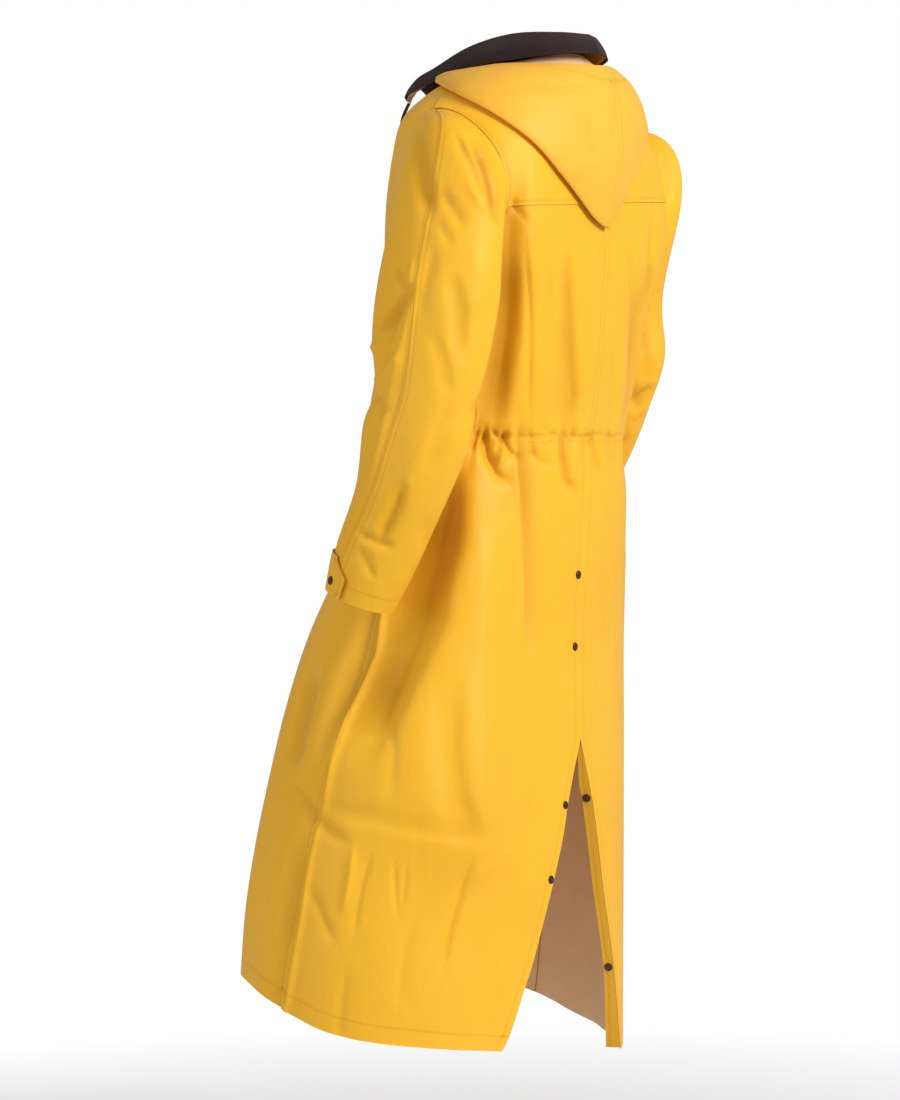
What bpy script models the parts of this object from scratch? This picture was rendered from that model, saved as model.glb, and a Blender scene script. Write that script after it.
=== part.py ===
"""Duster coat as worn: a long hooded rain duster with a fold-down collar, gathered waist and open back vent.

Metres, +Z up. The front faces -Y, and left and right are the coat's own, as it is worn: the left side is +X.
The origin is the hold point in the middle of the neck, level with the neck seam at the side. Every cloth piece
is a wall cut from one of four smooth surfaces: the body, the sleeves, the collar and the hood.
"""

import math

import bpy
import numpy as np

CLOTH = 0.0014  # wall of the coated cloth
SEAM_GAP = 0.0004  # half of the clearance where two panel edges meet
ARMHOLE_EDGE = 0.0024  # how far a body panel stops short of the armhole seam
SLEEVE_EDGE = 0.0050  # how far a sleeve head stops short of it
LAP = 0.0026  # how far an overlapping piece stands out from the panel below
TAB_OUT = 0.0042  # how far a cuff tab stands out from the sleeve
FIRST_LAP_LEVEL = 3.75  # the back panels start here, under the yoke
YOKE_EDGE_LEVEL = 4.0  # free lower edge of the yoke at the middle of the back
YOKE_TILT = 0.26  # how much lower, in levels, that edge is on the left side and higher on the right
WAIST_LEVEL = 8.0  # gathered seam between the bodice and the skirt
ROWS_PER_LEVEL = 1.75  # the same on all panels, so that their edges meet row by row at the seams
HEM_LEVEL = 16.0
VENT_TOP_LEVEL = 12.2

# Rings of the body from the neck to the hem. Heights at the side, back and front; how much lower the right
# side hangs; centre; half widths to the left and right; depths to the back and front; squareness of the back
# and front halves (2 is an ellipse).
BODY_COLUMNS = (
    "side_z", "back_z", "front_z", "swing", "mid_x", "mid_y",
    "left", "right", "back", "front", "square", "front_square",
)
BODY_RINGS = (
    (-0.004, 0.016, -0.052, 0.000, 0.000, -0.018, 0.085, 0.085, 0.098, 0.100, 2.0, 2.0),  # neck seam
    (-0.028, -0.010, -0.064, 0.000, 0.000, -0.012, 0.145, 0.145, 0.114, 0.116, 2.1, 2.0),
    (-0.062, -0.052, -0.086, 0.000, 0.000, -0.008, 0.206, 0.206, 0.124, 0.122, 2.4, 2.0),  # shoulder point
    (-0.112, -0.110, -0.122, 0.000, 0.000, -0.007, 0.228, 0.228, 0.132, 0.127, 3.6, 2.0),
    (-0.172, -0.172, -0.176, 0.000, 0.000, -0.007, 0.238, 0.238, 0.135, 0.134, 4.4, 2.0),  # yoke edge
    (-0.245, -0.245, -0.247, 0.000, 0.000, -0.007, 0.232, 0.232, 0.134, 0.137, 4.2, 2.1),
    (-0.305, -0.305, -0.306, 0.000, 0.000, -0.010, 0.205, 0.205, 0.132, 0.140, 3.6, 2.3),  # armpit
    (-0.385, -0.385, -0.385, 0.000, 0.000, -0.018, 0.202, 0.202, 0.134, 0.148, 3.0, 2.3),
    (-0.472, -0.472, -0.472, 0.000, 0.000, -0.030, 0.204, 0.206, 0.133, 0.157, 2.5, 2.2),  # gathered waist
    (-0.540, -0.541, -0.539, 0.001, 0.005, -0.037, 0.212, 0.250, 0.138, 0.150, 2.3, 2.1),
    (-0.620, -0.621, -0.614, 0.004, 0.014, -0.048, 0.220, 0.278, 0.149, 0.160, 2.1, 2.0),
    (-0.733, -0.735, -0.720, 0.010, 0.025, -0.064, 0.252, 0.310, 0.164, 0.188, 2.0, 2.0),
    (-0.829, -0.832, -0.806, 0.018, 0.035, -0.070, 0.280, 0.316, 0.177, 0.202, 2.0, 2.0),
    (-0.924, -0.927, -0.890, 0.028, 0.043, -0.077, 0.297, 0.322, 0.189, 0.209, 2.0, 2.0),
    (-1.014, -1.024, -0.964, 0.040, 0.050, -0.084, 0.309, 0.333, 0.198, 0.211, 2.0, 2.0),
    (-1.103, -1.118, -1.036, 0.053, 0.056, -0.090, 0.317, 0.338, 0.207, 0.210, 2.0, 2.0),
    (-1.188, -1.211, -1.112, 0.067, 0.060, -0.094, 0.322, 0.340, 0.214, 0.206, 2.0, 2.0),  # hem
)
ARMHOLE_TOP = 2.0
ARMHOLE_FOOT = 6.0
ARMHOLE_BACK = 42.0  # how far round the ring the armhole reaches at the back, degrees
ARMHOLE_FRONT = 27.0

# Angles round the ring, from the left side towards the back, of the side seam and the two vent edges.
EDGE_LEVELS = (6.0, 10.0, 12.1, 13.0, 14.0, 15.0, 16.0)
SIDE_SEAM = (0.0, 0.0, -2.2, -4.5, -6.5, -8.5, -10.0)
VENT_LEFT = (90.0, 90.0, 90.0, 83.5, 77.0, 70.0, 61.0)
VENT_RIGHT = (90.0, 90.0, 90.0, 97.0, 103.5, 112.0, 120.0)

# Main folds of the body: angle and level of both ends, half width in degrees, depth in metres (minus is a
# trough). Each fades out towards its ends.
FOLD_COLUMNS = ("angle_a", "level_a", "angle_b", "level_b", "width", "depth")
BODY_FOLDS = (
    (49.0, 4.3, 35.0, 8.0, 5.0, -0.010),  # trough from the yoke's left end to the waist
    (71.0, 5.2, 77.0, 8.0, 3.5, -0.007),  # trough beside the back seam
    (120.0, 5.0, 124.0, 8.0, 7.0, -0.006),
    (35.0, 8.0, 43.0, 9.0, 4.0, -0.008),  # gathers below the waist
    (53.0, 8.0, 59.0, 10.0, 4.0, -0.008),
    (75.0, 8.0, 84.0, 9.3, 4.0, -0.007),
    (95.0, 8.0, 106.0, 9.4, 4.5, -0.006),
    (132.0, 8.0, 138.0, 10.0, 6.0, -0.007),
    (12.0, 10.2, -1.0, 16.0, 6.0, 0.009),  # ridge behind the left side seam
    (-9.0, 10.2, -20.0, 16.0, 6.0, -0.012),  # trough in front of it
    (-34.0, 10.6, -40.0, 16.0, 8.0, 0.006),
    (34.0, 10.5, 28.0, 16.0, 9.0, -0.010),
    (56.0, 11.0, 46.0, 16.0, 8.0, 0.009),
    (150.0, 10.0, 150.0, 16.0, 9.0, -0.009),
    (186.0, 10.0, 192.0, 16.0, 10.0, 0.010),
    (-120.0, 9.5, -124.0, 16.0, 10.0, -0.012),
    (-60.0, 6.5, -66.0, 8.6, 8.0, -0.007),
    (-120.0, 5.0, -112.0, 8.4, 8.0, -0.007),
)

# Rings of a sleeve below the armhole: centre (x is outwards), half sizes outwards and backwards, tilt of the
# outward axis, forward lean, the outer seam's angle from the outermost line and how far the inner seam lags
# behind the innermost one, in degrees.
SLEEVE_COLUMNS = ("x", "y", "z", "out", "back", "tilt", "lean", "seam", "lag")
LEFT_SLEEVE = (
    (0.245, 0.036, -0.200, 0.105, 0.074, 75.0, 0.0, 3.0, 35.0),
    (0.262, 0.030, -0.290, 0.066, 0.080, 30.0, 0.0, 5.0, 22.0),
    (0.273, 0.025, -0.360, 0.056, 0.078, 14.0, 4.0, 4.0, 12.0),
    (0.281, 0.023, -0.422, 0.052, 0.067, 5.0, 8.0, 0.0, 6.0),
    (0.288, 0.012, -0.472, 0.050, 0.071, 0.0, 14.0, -4.0, 2.0),
    (0.297, -0.006, -0.546, 0.047, 0.058, 0.0, 18.0, -10.0, 0.0),
    (0.303, -0.036, -0.620, 0.044, 0.053, 0.0, 21.0, -19.0, 0.0),
    (0.306, -0.056, -0.673, 0.040, 0.044, 0.0, 21.0, -22.0, 0.0),
)
RIGHT_SLEEVE = (
    (0.250, 0.036, -0.187, 0.108, 0.080, 75.0, -25.0, 3.0, 32.0),
    (0.262, -0.008, -0.290, 0.066, 0.078, 30.0, 0.0, 5.0, 8.0),
    (0.268, -0.006, -0.360, 0.056, 0.077, 14.0, 5.0, 4.0, 4.0),
    (0.272, -0.020, -0.420, 0.052, 0.066, 5.0, 12.0, 0.0, 0.0),
    (0.280, -0.048, -0.470, 0.050, 0.066, 0.0, 26.0, -4.0, 0.0),
    (0.294, -0.086, -0.538, 0.047, 0.058, 0.0, 34.0, -8.0, 0.0),
    (0.302, -0.130, -0.602, 0.044, 0.052, 0.0, 34.0, -10.0, 0.0),
    (0.306, -0.160, -0.645, 0.040, 0.044, 0.0, 34.0, -10.0, 0.0),
)

# Stations of half the hood from the centre back round to the front end: where it is sewn to the neck, where
# it folds at the bottom (angle and level, which differ between the left and right halves because the hood hangs
# askew), its opening edge, and how far the outer layer bellies out.
HOOD_COLUMNS = (
    "neck", "edge_left", "edge_right", "level_left", "level_right", "open_x", "open_y", "open_z", "belly",
)
HOOD_STATIONS = (
    (90.0, 87.0, 93.0, 4.45, 4.45, 0.000, 0.126, 0.002, 0.019),
    (80.0, 79.0, 82.0, 4.32, 3.85, 0.030, 0.120, -0.001, 0.019),
    (70.0, 71.0, 71.0, 4.05, 3.15, 0.058, 0.104, -0.003, 0.018),
    (56.0, 60.0, 60.0, 3.55, 2.55, 0.082, 0.080, -0.004, 0.015),
    (42.0, 47.0, 47.0, 2.85, 2.10, 0.100, 0.052, -0.002, 0.012),
    (28.0, 31.0, 31.0, 2.25, 1.75, 0.110, 0.026, -0.001, 0.010),
    (12.0, 12.0, 12.0, 1.72, 1.40, 0.123, 0.000, -0.006, 0.008),
    (-6.0, -6.0, -6.0, 1.22, 1.04, 0.127, -0.026, -0.013, 0.006),
    (-22.0, -22.0, -22.0, 0.70, 0.70, 0.120, -0.050, -0.022, 0.003),
)

# Stations of half the collar from the centre back to the front point: angle round the neck, then the fold
# line and the free edge of the fall.
COLLAR_COLUMNS = ("neck", "fold_x", "fold_y", "fold_z", "edge_x", "edge_y", "edge_z")
COLLAR_STATIONS = (
    (90.0, 0.000, 0.098, 0.041, 0.000, 0.115, 0.019),
    (60.0, 0.049, 0.082, 0.040, 0.058, 0.096, 0.015),
    (30.0, 0.084, 0.036, 0.037, 0.100, 0.041, 0.006),
    (0.0, 0.094, -0.020, 0.023, 0.112, -0.022, -0.004),
    (-30.0, 0.085, -0.076, 0.000, 0.100, -0.086, -0.022),
    (-56.0, 0.056, -0.118, -0.009, 0.067, -0.132, -0.029),
    (-80.0, 0.022, -0.138, -0.016, 0.024, -0.154, -0.033),
)

# The way the underlap turns in from the right vent edge.
UNDERLAP_WAY = np.array([0.35, -0.937, 0.0])

SNAP_RADIUS = 0.0053
SNAP_RISE = 0.0024
BACK_SNAPS = (("closed_upper", 87.5, 10.22), ("closed_lower", 87.5, 10.98))
LEFT_VENT_SNAPS = (("left_upper", 12.95), ("left_lower", 13.85))
RIGHT_VENT_SNAPS = (("right_upper", 12.88), ("right_lower", 14.98))
FRONT_SNAP_LEVELS = (1.2, 3.2, 5.2, 7.2, 9.2, 11.0)

CORD_RADIUS = 0.0022
CORD_POINTS = 14


def table(columns, rows):
    """The rows of a table as a dictionary of columns."""
    return dict(zip(columns, np.array(rows, dtype=float).T))


BODY = table(BODY_COLUMNS, BODY_RINGS)
FOLDS = table(FOLD_COLUMNS, BODY_FOLDS)


def smooth_between(values, at):
    """A smooth curve through values (one per whole number) read at the numbers in at."""
    values = np.asarray(values, dtype=float)
    last = len(values) - 1
    at = np.clip(at, 0.0, last)
    low = np.minimum(at.astype(int), last - 1)
    part = at - low
    part = part.reshape(part.shape + (1,) * (values.ndim - 1))
    before = values[np.maximum(low - 1, 0)]
    start = values[low]
    end = values[low + 1]
    after = values[np.minimum(low + 2, last)]
    slope_in = (end - before) / 2.0
    slope_out = (after - start) / 2.0
    return (
        start * (2 * part**3 - 3 * part**2 + 1)
        + slope_in * (part**3 - 2 * part**2 + part)
        + end * (3 * part**2 - 2 * part**3)
        + slope_out * (part**3 - part**2)
    )


def fold_depth(angle, level):
    """Sum of the troughs and ridges: each is a bell across its line times a half sine along it."""
    depth = np.zeros(np.broadcast(angle, level).shape)
    for row in zip(*(FOLDS[name] for name in FOLD_COLUMNS)):
        angle_a, level_a, angle_b, level_b, width, deep = row
        along = (level - level_a) / (level_b - level_a)
        inside = np.clip(along, 0.0, 1.0)
        if level_b >= HEM_LEVEL:
            fade = np.sin(inside * math.pi / 2.0)
        else:
            fade = np.sin(np.minimum(inside * 1.0, 1.0) * math.pi) ** 0.6
        centre = angle_a + (angle_b - angle_a) * inside
        across = (angle - centre + 180.0) % 360.0 - 180.0
        depth = depth + deep * fade * np.exp(-((across / width) ** 2))
    return depth


def body_plain(angle, level):
    """Point of the body: a rounded ring whose sizes run smoothly down the table. Near the hem the height falls
    away quickly behind the side seam and rises evenly in front of it."""
    row = {name: smooth_between(BODY[name], level) for name in BODY_COLUMNS}
    turn = np.radians(angle)
    cosine = np.cos(turn)
    sine = np.sin(turn)
    square = np.where(sine > 0, row["square"], row["front_square"])
    reach = (np.abs(cosine) ** square + np.abs(sine) ** square) ** (-1.0 / square)
    half = np.where(cosine > 0, row["left"], row["right"])
    deep = np.where(sine > 0, row["back"], row["front"])
    x = row["mid_x"] + half * cosine * reach
    y = row["mid_y"] + deep * sine * reach
    rise = np.where(sine > 0, row["back_z"] - row["side_z"], row["front_z"] - row["side_z"])
    drop = row["swing"] * np.clip((1.0 - cosine) / 1.5, 0.0, 1.0)
    hem_part = np.clip((level - 11.0) / (HEM_LEVEL - 11.0), 0.0, 1.0)
    hem_rise = np.where(sine > 0, 1.0 - (1.0 - np.abs(sine)) ** 4, np.abs(sine))
    z = row["side_z"] + rise * (sine**2 * (1.0 - hem_part) + hem_rise * hem_part) - drop
    return np.stack([x, y, z], axis=-1)


def unit(vectors):
    return vectors / np.maximum(np.linalg.norm(vectors, axis=-1, keepdims=True), 1e-9)


def body(angle, level, out=0.0):
    """Point of the folded body, moved out along the surface's normal by out metres."""
    angle, level = np.broadcast_arrays(np.asarray(angle, float), np.asarray(level, float))
    step = 0.02
    low = np.clip(level, step, HEM_LEVEL - step)
    round_it = body_plain(angle + 0.5, level) - body_plain(angle - 0.5, level)
    down_it = body_plain(angle, low + step) - body_plain(angle, low - step)
    normal = unit(np.cross(down_it, round_it))
    away = np.asarray(out + fold_depth(angle, level))
    return body_plain(angle, level) + normal * away[..., None]


def armhole_angle(level, reach):
    """Half opening of the armhole in degrees at a level: a blunt oval from the shoulder point to the armpit."""
    part = np.clip((level - ARMHOLE_TOP) / (ARMHOLE_FOOT - ARMHOLE_TOP), 0.0, 1.0)
    return reach * np.sqrt(np.sin(math.pi * part))


def side_edge(level, reach):
    """Angle of a left body panel's outer edge: shoulder seam, armhole, then side seam."""
    return armhole_angle(level, reach) + np.interp(level, EDGE_LEVELS, SIDE_SEAM)


def levels_between(first, last):
    """Levels down a panel, spread evenly but with the turns of the armhole and the waist held."""
    held = [value for value in (ARMHOLE_TOP, ARMHOLE_FOOT, WAIST_LEVEL) if first < value < last]
    stops = [first] + held + [last]
    spans = []
    for start, end in zip(stops, stops[1:]):
        steps = max(3, round(ROWS_PER_LEVEL * (end - start)))
        part = np.linspace(0.0, 1.0, steps + 1)
        if start == ARMHOLE_TOP or end == ARMHOLE_FOOT:
            part = (1.0 - np.cos(math.pi * part)) / 2.0
        spans.append(start + (end - start) * part[:-1])
    return np.concatenate(spans + [[last]])


def armhole_gap(levels):
    """Distance from the seam line to a panel's outer edge, one row per level: wider along the armhole."""
    beside = (levels > ARMHOLE_TOP - 0.1) & (levels < ARMHOLE_FOOT + 0.1)
    return np.where(beside, ARMHOLE_EDGE, SEAM_GAP)[:, None]


def drawn_in(grid, first, last, axis=1):
    """The grid with its two edges along an axis pulled inwards by two distances."""
    grid = np.moveaxis(grid, axis, 0).copy()
    grid[0] += unit(grid[1] - grid[0]) * first
    grid[-1] += unit(grid[-2] - grid[-1]) * last
    return np.moveaxis(grid, 0, axis)


def new_material(name, colour, roughness, metallic=0.0):
    """One Principled material per sub-part."""
    made = bpy.data.materials.new(name)
    made.use_nodes = True
    shader = made.node_tree.nodes["Principled BSDF"]
    shader.inputs["Base Color"].default_value = (*colour, 1.0)
    shader.inputs["Roughness"].default_value = roughness
    shader.inputs["Metallic"].default_value = metallic
    made.diffuse_color = (*colour, 1.0)
    return made


YELLOW = (0.93, 0.55, 0.055)
DARK = (0.030, 0.013, 0.016)
SNAP_BROWN = (0.075, 0.016, 0.008)


def add_object(name, mesh, colour, roughness=0.5, metallic=0.0):
    made = bpy.data.objects.new(name, mesh)
    mesh.materials.append(new_material(name + "_material", colour, roughness, metallic))
    COAT.objects.link(made)
    return made


def cloth(name, grid, colour=YELLOW, wall=CLOTH):
    """A wall of cloth, half of it each side of a grid of points (rows by columns)."""
    rows, columns = grid.shape[:2]
    index = np.arange(rows * columns).reshape(rows, columns)
    corners = [index[:-1, :-1], index[1:, :-1], index[1:, 1:], index[:-1, 1:]]
    corners = np.stack(corners, axis=-1).reshape(-1, 4)
    mesh = bpy.data.meshes.new(name)
    mesh.from_pydata(grid.reshape(-1, 3).tolist(), [], corners.tolist())
    mesh.shade_smooth()
    made = add_object(name, mesh, colour)
    shell = made.modifiers.new("wall", "SOLIDIFY")
    shell.thickness = wall
    shell.offset = 0.0
    return made


def mirrored(angle):
    """The same angle on the other side of the coat."""
    return 180.0 - angle


def body_grid(edge_a, edge_b, levels, columns, out, gaps):
    """Points of the body between two edges, each given as one angle per level, drawn in by two gaps."""
    part = np.linspace(0.0, 1.0, columns + 1)[None, :]
    angle = edge_a[:, None] * (1.0 - part) + edge_b[:, None] * part
    grid = body(angle, np.broadcast_to(levels[:, None], angle.shape), out)
    return drawn_in(grid, *gaps)


def build_waisted(half, edge_a, edge_b, levels, columns, gaps):
    """A bodice piece and the skirt piece gathered on to it, which meet at the waist seam."""
    grid = body_grid(edge_a, edge_b, levels, columns, 0.0, gaps)
    waist = int(np.argmin(np.abs(levels - WAIST_LEVEL)))
    cloth("bodice_" + half, drawn_in(grid[: waist + 1], 0.0, SEAM_GAP, axis=0))
    cloth("skirt_" + half, drawn_in(grid[waist:], SEAM_GAP, 0.0, axis=0))


def build_back():
    """Two halves of the back from under the yoke to the hem, parted by the vent, and the yoke over them."""
    levels = levels_between(FIRST_LAP_LEVEL, HEM_LEVEL)
    side = side_edge(levels, ARMHOLE_BACK)
    outer = armhole_gap(levels)
    left_centre = np.interp(levels, EDGE_LEVELS, VENT_LEFT)
    right_centre = np.interp(levels, EDGE_LEVELS, VENT_RIGHT)
    build_waisted("back_left", left_centre, side, levels, 11, (SEAM_GAP, outer))
    build_waisted("back_right", mirrored(side), right_centre, levels, 11, (outer, SEAM_GAP))
    levels = levels_between(0.06, YOKE_EDGE_LEVEL)
    side = side_edge(levels, ARMHOLE_BACK)
    part = np.linspace(0.0, 1.0, 23)[None, :]
    angle = mirrored(side)[:, None] * (1.0 - part) + side[:, None] * part
    lower = np.clip((levels - 2.6) / (YOKE_EDGE_LEVEL - 2.6), 0.0, 1.0)[:, None]
    tilted = levels[:, None] + YOKE_TILT * np.cos(np.radians(angle)) * lower
    outer = armhole_gap(levels)
    cloth("back_yoke", drawn_in(body(angle, tilted, LAP), outer, outer))


def build_fronts():
    """Two halves of the front from neck to hem and the storm fly that covers where they meet."""
    levels = levels_between(0.06, HEM_LEVEL)
    outer = armhole_gap(levels)
    side = -armhole_angle(levels, ARMHOLE_FRONT) + np.interp(levels, EDGE_LEVELS, SIDE_SEAM)
    middle = np.full(len(levels), -90.0)
    build_waisted("front_left", side, middle, levels, 9, (outer, SEAM_GAP))
    build_waisted("front_right", middle, mirrored(side) - 360.0, levels, 9, (SEAM_GAP, outer))
    levels = levels[levels > 0.3]
    width = smooth_between(BODY["left"], levels)
    reach = np.degrees(0.033 / width)
    cloth("front_fly", body_grid(reach - 90.0, -reach - 90.0, levels, 3, LAP, (0.0, 0.0)))


def sleeve_table(side):
    rows = LEFT_SLEEVE if side > 0 else RIGHT_SLEEVE
    return table(SLEEVE_COLUMNS, rows)


def armhole_loop(turn, side):
    """Points of the armhole edge: turn 0 is the shoulder point, 0.5 the armpit, the back comes first."""
    half = np.abs((turn % 1.0) * 2.0 - 1.0)
    part = 1.0 - half
    level = ARMHOLE_TOP + (ARMHOLE_FOOT - ARMHOLE_TOP) * (1.0 - np.cos(math.pi * part)) / 2.0
    back = (turn % 1.0) <= 0.5
    angle = np.where(back, armhole_angle(level, ARMHOLE_BACK), -armhole_angle(level, ARMHOLE_FRONT))
    points = body_plain(angle, level)
    return points * np.array([side, 1.0, 1.0])


def sleeve(turn, ring, side, out=0.0):
    """Point of a sleeve: turn runs once round from the outer seam by the back; ring counts down the arm."""
    rows = sleeve_table(side)
    turn, ring = np.broadcast_arrays(np.asarray(turn, float), np.asarray(ring, float))
    rings = [armhole_loop(turn, 1.0)]
    for k in range(len(rows["x"])):
        lag = rows["lag"][k] * np.sin(math.pi * turn) ** 2
        angle = 2.0 * math.pi * turn + np.radians(rows["seam"][k] + lag)
        tilt = math.radians(rows["tilt"][k])
        lean = math.radians(rows["lean"][k])
        outward = np.array([math.cos(tilt), 0.0, math.sin(tilt)])
        backward = np.array([0.0, math.cos(lean), -math.sin(lean)])
        centre = np.array([rows["x"][k], rows["y"][k], rows["z"][k]])
        rings.append(
            centre
            + np.cos(angle)[..., None] * outward * (rows["out"][k] + out)
            + np.sin(angle)[..., None] * backward * (rows["back"][k] + out)
        )
    stack = np.stack(rings)
    last = len(rings) - 1
    at = np.clip(ring, 0.0, last)
    low = np.minimum(at.astype(int), last - 1)
    part = (at - low)[..., None]

    def pick(number):
        number = np.clip(number, 0, last)
        return np.take_along_axis(stack, number[None, ..., None], axis=0)[0]

    before, start, end, after = pick(low - 1), pick(low), pick(low + 1), pick(low + 2)
    slope_in = (end - before) / 2.0
    slope_out = (after - start) / 2.0
    point = (
        start * (2 * part**3 - 3 * part**2 + 1)
        + slope_in * (part**3 - 2 * part**2 + part)
        + end * (3 * part**2 - 2 * part**3)
        + slope_out * (part**3 - part**2)
    )
    return point * np.array([side, 1.0, 1.0])


def build_sleeve(side, word):
    """A two-piece sleeve seamed along the outside and the inside of the arm, and its cuff tab."""
    rings = np.concatenate([np.linspace(0.0, 2.0, 7)[:-1], np.linspace(2.0, 8.0, 11)])
    for half, first, last in (("back", 0.0, 0.5), ("front", 0.5, 1.0)):
        turn = np.linspace(first, last, 10)[None, :]
        grid = sleeve(turn, rings[:, None], side)
        grid = drawn_in(grid, 4 * SEAM_GAP, 4 * SEAM_GAP)
        grid = drawn_in(grid, SLEEVE_EDGE, 0.0, axis=0)
        if side > 0:
            grid = grid[:, ::-1]
        cloth(f"sleeve_{word}_{half}", grid)
    # the tab's free end is cut at a slant and reaches past the outer seam
    rings = np.linspace(7.13, 7.97, 4)[:, None]
    free_end = np.interp(rings, (7.13, 7.41), (0.965, 1.045))
    turn = 0.70 + (free_end - 0.70) * np.linspace(0.0, 1.0, 8)[None, :]
    grid = sleeve(turn, rings, side, TAB_OUT)
    if side > 0:
        grid = grid[:, ::-1]
    cloth(f"cuff_tab_{word}", grid)


def snap(name, centre, outward):
    """A pressed cap: a short drum with a rounded rim, its axis along outward."""
    bpy.ops.mesh.primitive_cylinder_add(vertices=14, radius=SNAP_RADIUS, depth=SNAP_RISE)
    made = bpy.context.object
    made.name = name
    made.data.name = name
    made.data.materials.append(new_material(name + "_material", SNAP_BROWN, 0.35, 0.6))
    for collection in list(made.users_collection):
        collection.objects.unlink(made)
    COAT.objects.link(made)
    from_z = np.array(outward) / np.linalg.norm(outward)
    made.rotation_euler = (math.acos(from_z[2]), 0.0, math.atan2(from_z[0], -from_z[1]))
    made.location = tuple(np.array(centre) + from_z * (SNAP_RISE / 2))
    rim = made.modifiers.new("rim", "BEVEL")
    rim.width = SNAP_RISE * 0.3
    rim.segments = 1
    rim.limit_method = "ANGLE"
    made.data.shade_smooth()
    return made


def on_body(angle, level, out):
    """A point beside the body and the outward direction there."""
    low = body(np.array([angle]), np.array([level]), 0.0)[0]
    high = body(np.array([angle]), np.array([level]), 0.01)[0]
    away = (high - low) / np.linalg.norm(high - low)
    return low + away * out, away


def underlap(level, part):
    """Point of the strip turned in from the right vent edge: part 0 is the fold, 1 its free edge."""
    edge = body(np.interp(level, EDGE_LEVELS, VENT_RIGHT), level)
    width = 0.005 + 0.008 * np.clip((level - VENT_TOP_LEVEL) / 0.5, 0.0, 1.0)
    width = width + 0.006 * np.clip(level - 15.0, 0.0, 1.0)
    return edge + UNDERLAP_WAY * (0.0018 + part * width)[..., None]


def build_underlap():
    """The right vent edge's underlap, which the left edge snaps on to."""
    down = np.linspace(VENT_TOP_LEVEL, HEM_LEVEL - 0.03, 12)
    levels, parts = np.meshgrid(down, (0.0, 0.5, 1.0), indexing="ij")
    cloth("vent_underlap", underlap(levels, parts))


def build_snaps():
    """Caps on the closed part of the back, both vent edges, the front fly and the cuff tabs."""
    clear = CLOTH / 2 + 0.0007
    for name, angle, level in BACK_SNAPS:
        snap("snap_back_" + name, *on_body(angle, level, clear))
    for name, level in LEFT_VENT_SNAPS:
        angle = np.interp(level, EDGE_LEVELS, VENT_LEFT) - 1.4
        snap("snap_vent_" + name, *on_body(angle, level, clear))
    for name, level in RIGHT_VENT_SNAPS:
        upper, centre, lower = underlap(level + np.array([-0.05, 0.0, 0.05]), np.full(3, 0.5))
        facing = unit(np.cross(upper - lower, UNDERLAP_WAY))
        snap("snap_vent_" + name, centre + facing * (clear + 0.0004), facing)
    for number, level in enumerate(FRONT_SNAP_LEVELS):
        snap(f"snap_front_{number + 1}", *on_body(-90.0, level, LAP + clear + 0.001))
    for side, word in ((1.0, "left"), (-1.0, "right")):
        low = sleeve(np.array([0.96]), np.array([7.62]), side, TAB_OUT)[0]
        high = sleeve(np.array([0.96]), np.array([7.62]), side, TAB_OUT + 0.01)[0]
        away = unit(high - low)
        snap("snap_cuff_" + word, low + away * (clear + 0.0006), away)


def rows_along(columns, rows, positions):
    """Every column of a station table read smoothly at positions along it."""
    data = table(columns, rows)
    return {name: smooth_between(data[name], positions) for name in columns}


def through(points, parts):
    """Smooth path through a list of points (each rows by 3) read at parts from 0 to 1 of its index."""
    stack = np.stack(points)
    return smooth_between(stack, np.asarray(parts) * (len(points) - 1))


def hood_half(word, count):
    """Points of half the hood on the left side: down the back to the bottom fold, then up to the opening."""
    at = np.linspace(0.0, len(HOOD_STATIONS) - 1.0, count)
    row = rows_along(HOOD_COLUMNS, HOOD_STATIONS, at)
    edge = row["edge_" + word]
    lowest = row["level_" + word]
    # the yoke ends at the shoulder
    near = np.interp(row["neck"], (-22.0, -4.0, 10.0), (0.0034, 0.0040, 0.0078))
    top = 0.34
    rows = []
    for part in np.linspace(0.0, 1.0, 6):
        angle = row["neck"] * (1.0 - part) + edge * part
        rows.append(body(angle, top * (1.0 - part) + (lowest - 0.10) * part, near))
    rows.append(body(edge, lowest, near + 0.004))
    opening = np.stack([row["open_x"], row["open_y"], row["open_z"]], axis=-1)
    for part in (0.06, 0.25, 0.45, 0.65, 0.85):
        angle = edge * (1.0 - part) + row["neck"] * part
        level = (lowest - 0.05) * (1.0 - part) + 0.5 * part
        rise = near + 0.007 + row["belly"] * math.sin(math.pi * part * 0.75)
        over = body(angle, level, rise)
        blend = part**4
        rows.append(over * (1.0 - blend) + opening * blend)
    rows.append(opening)
    return np.stack(rows)


def build_hood():
    """Two hood halves, seamed down the middle."""
    for side, word in ((1.0, "left"), (-1.0, "right")):
        grid = hood_half(word, 11) * np.array([side, 1.0, 1.0])
        grid = drawn_in(grid, SEAM_GAP, 0.0)
        if side < 0:
            grid = grid[:, ::-1]
        cloth("hood_" + word, grid, YELLOW, 0.0012)


def collar_path(count):
    """Stations of the whole collar from the right point round the back to the left point."""
    half = len(COLLAR_STATIONS) - 1.0
    at = np.linspace(-half, half, count)
    row = rows_along(COLLAR_COLUMNS, COLLAR_STATIONS, np.abs(at))
    side = np.where(at < 0, -1.0, 1.0)
    fold = np.stack([row["fold_x"] * side, row["fold_y"], row["fold_z"]], axis=-1)
    edge = np.stack([row["edge_x"] * side, row["edge_y"], row["edge_z"]], axis=-1)
    angle = np.where(at < 0, 180.0 - row["neck"], row["neck"])
    return angle, fold, edge


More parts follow.
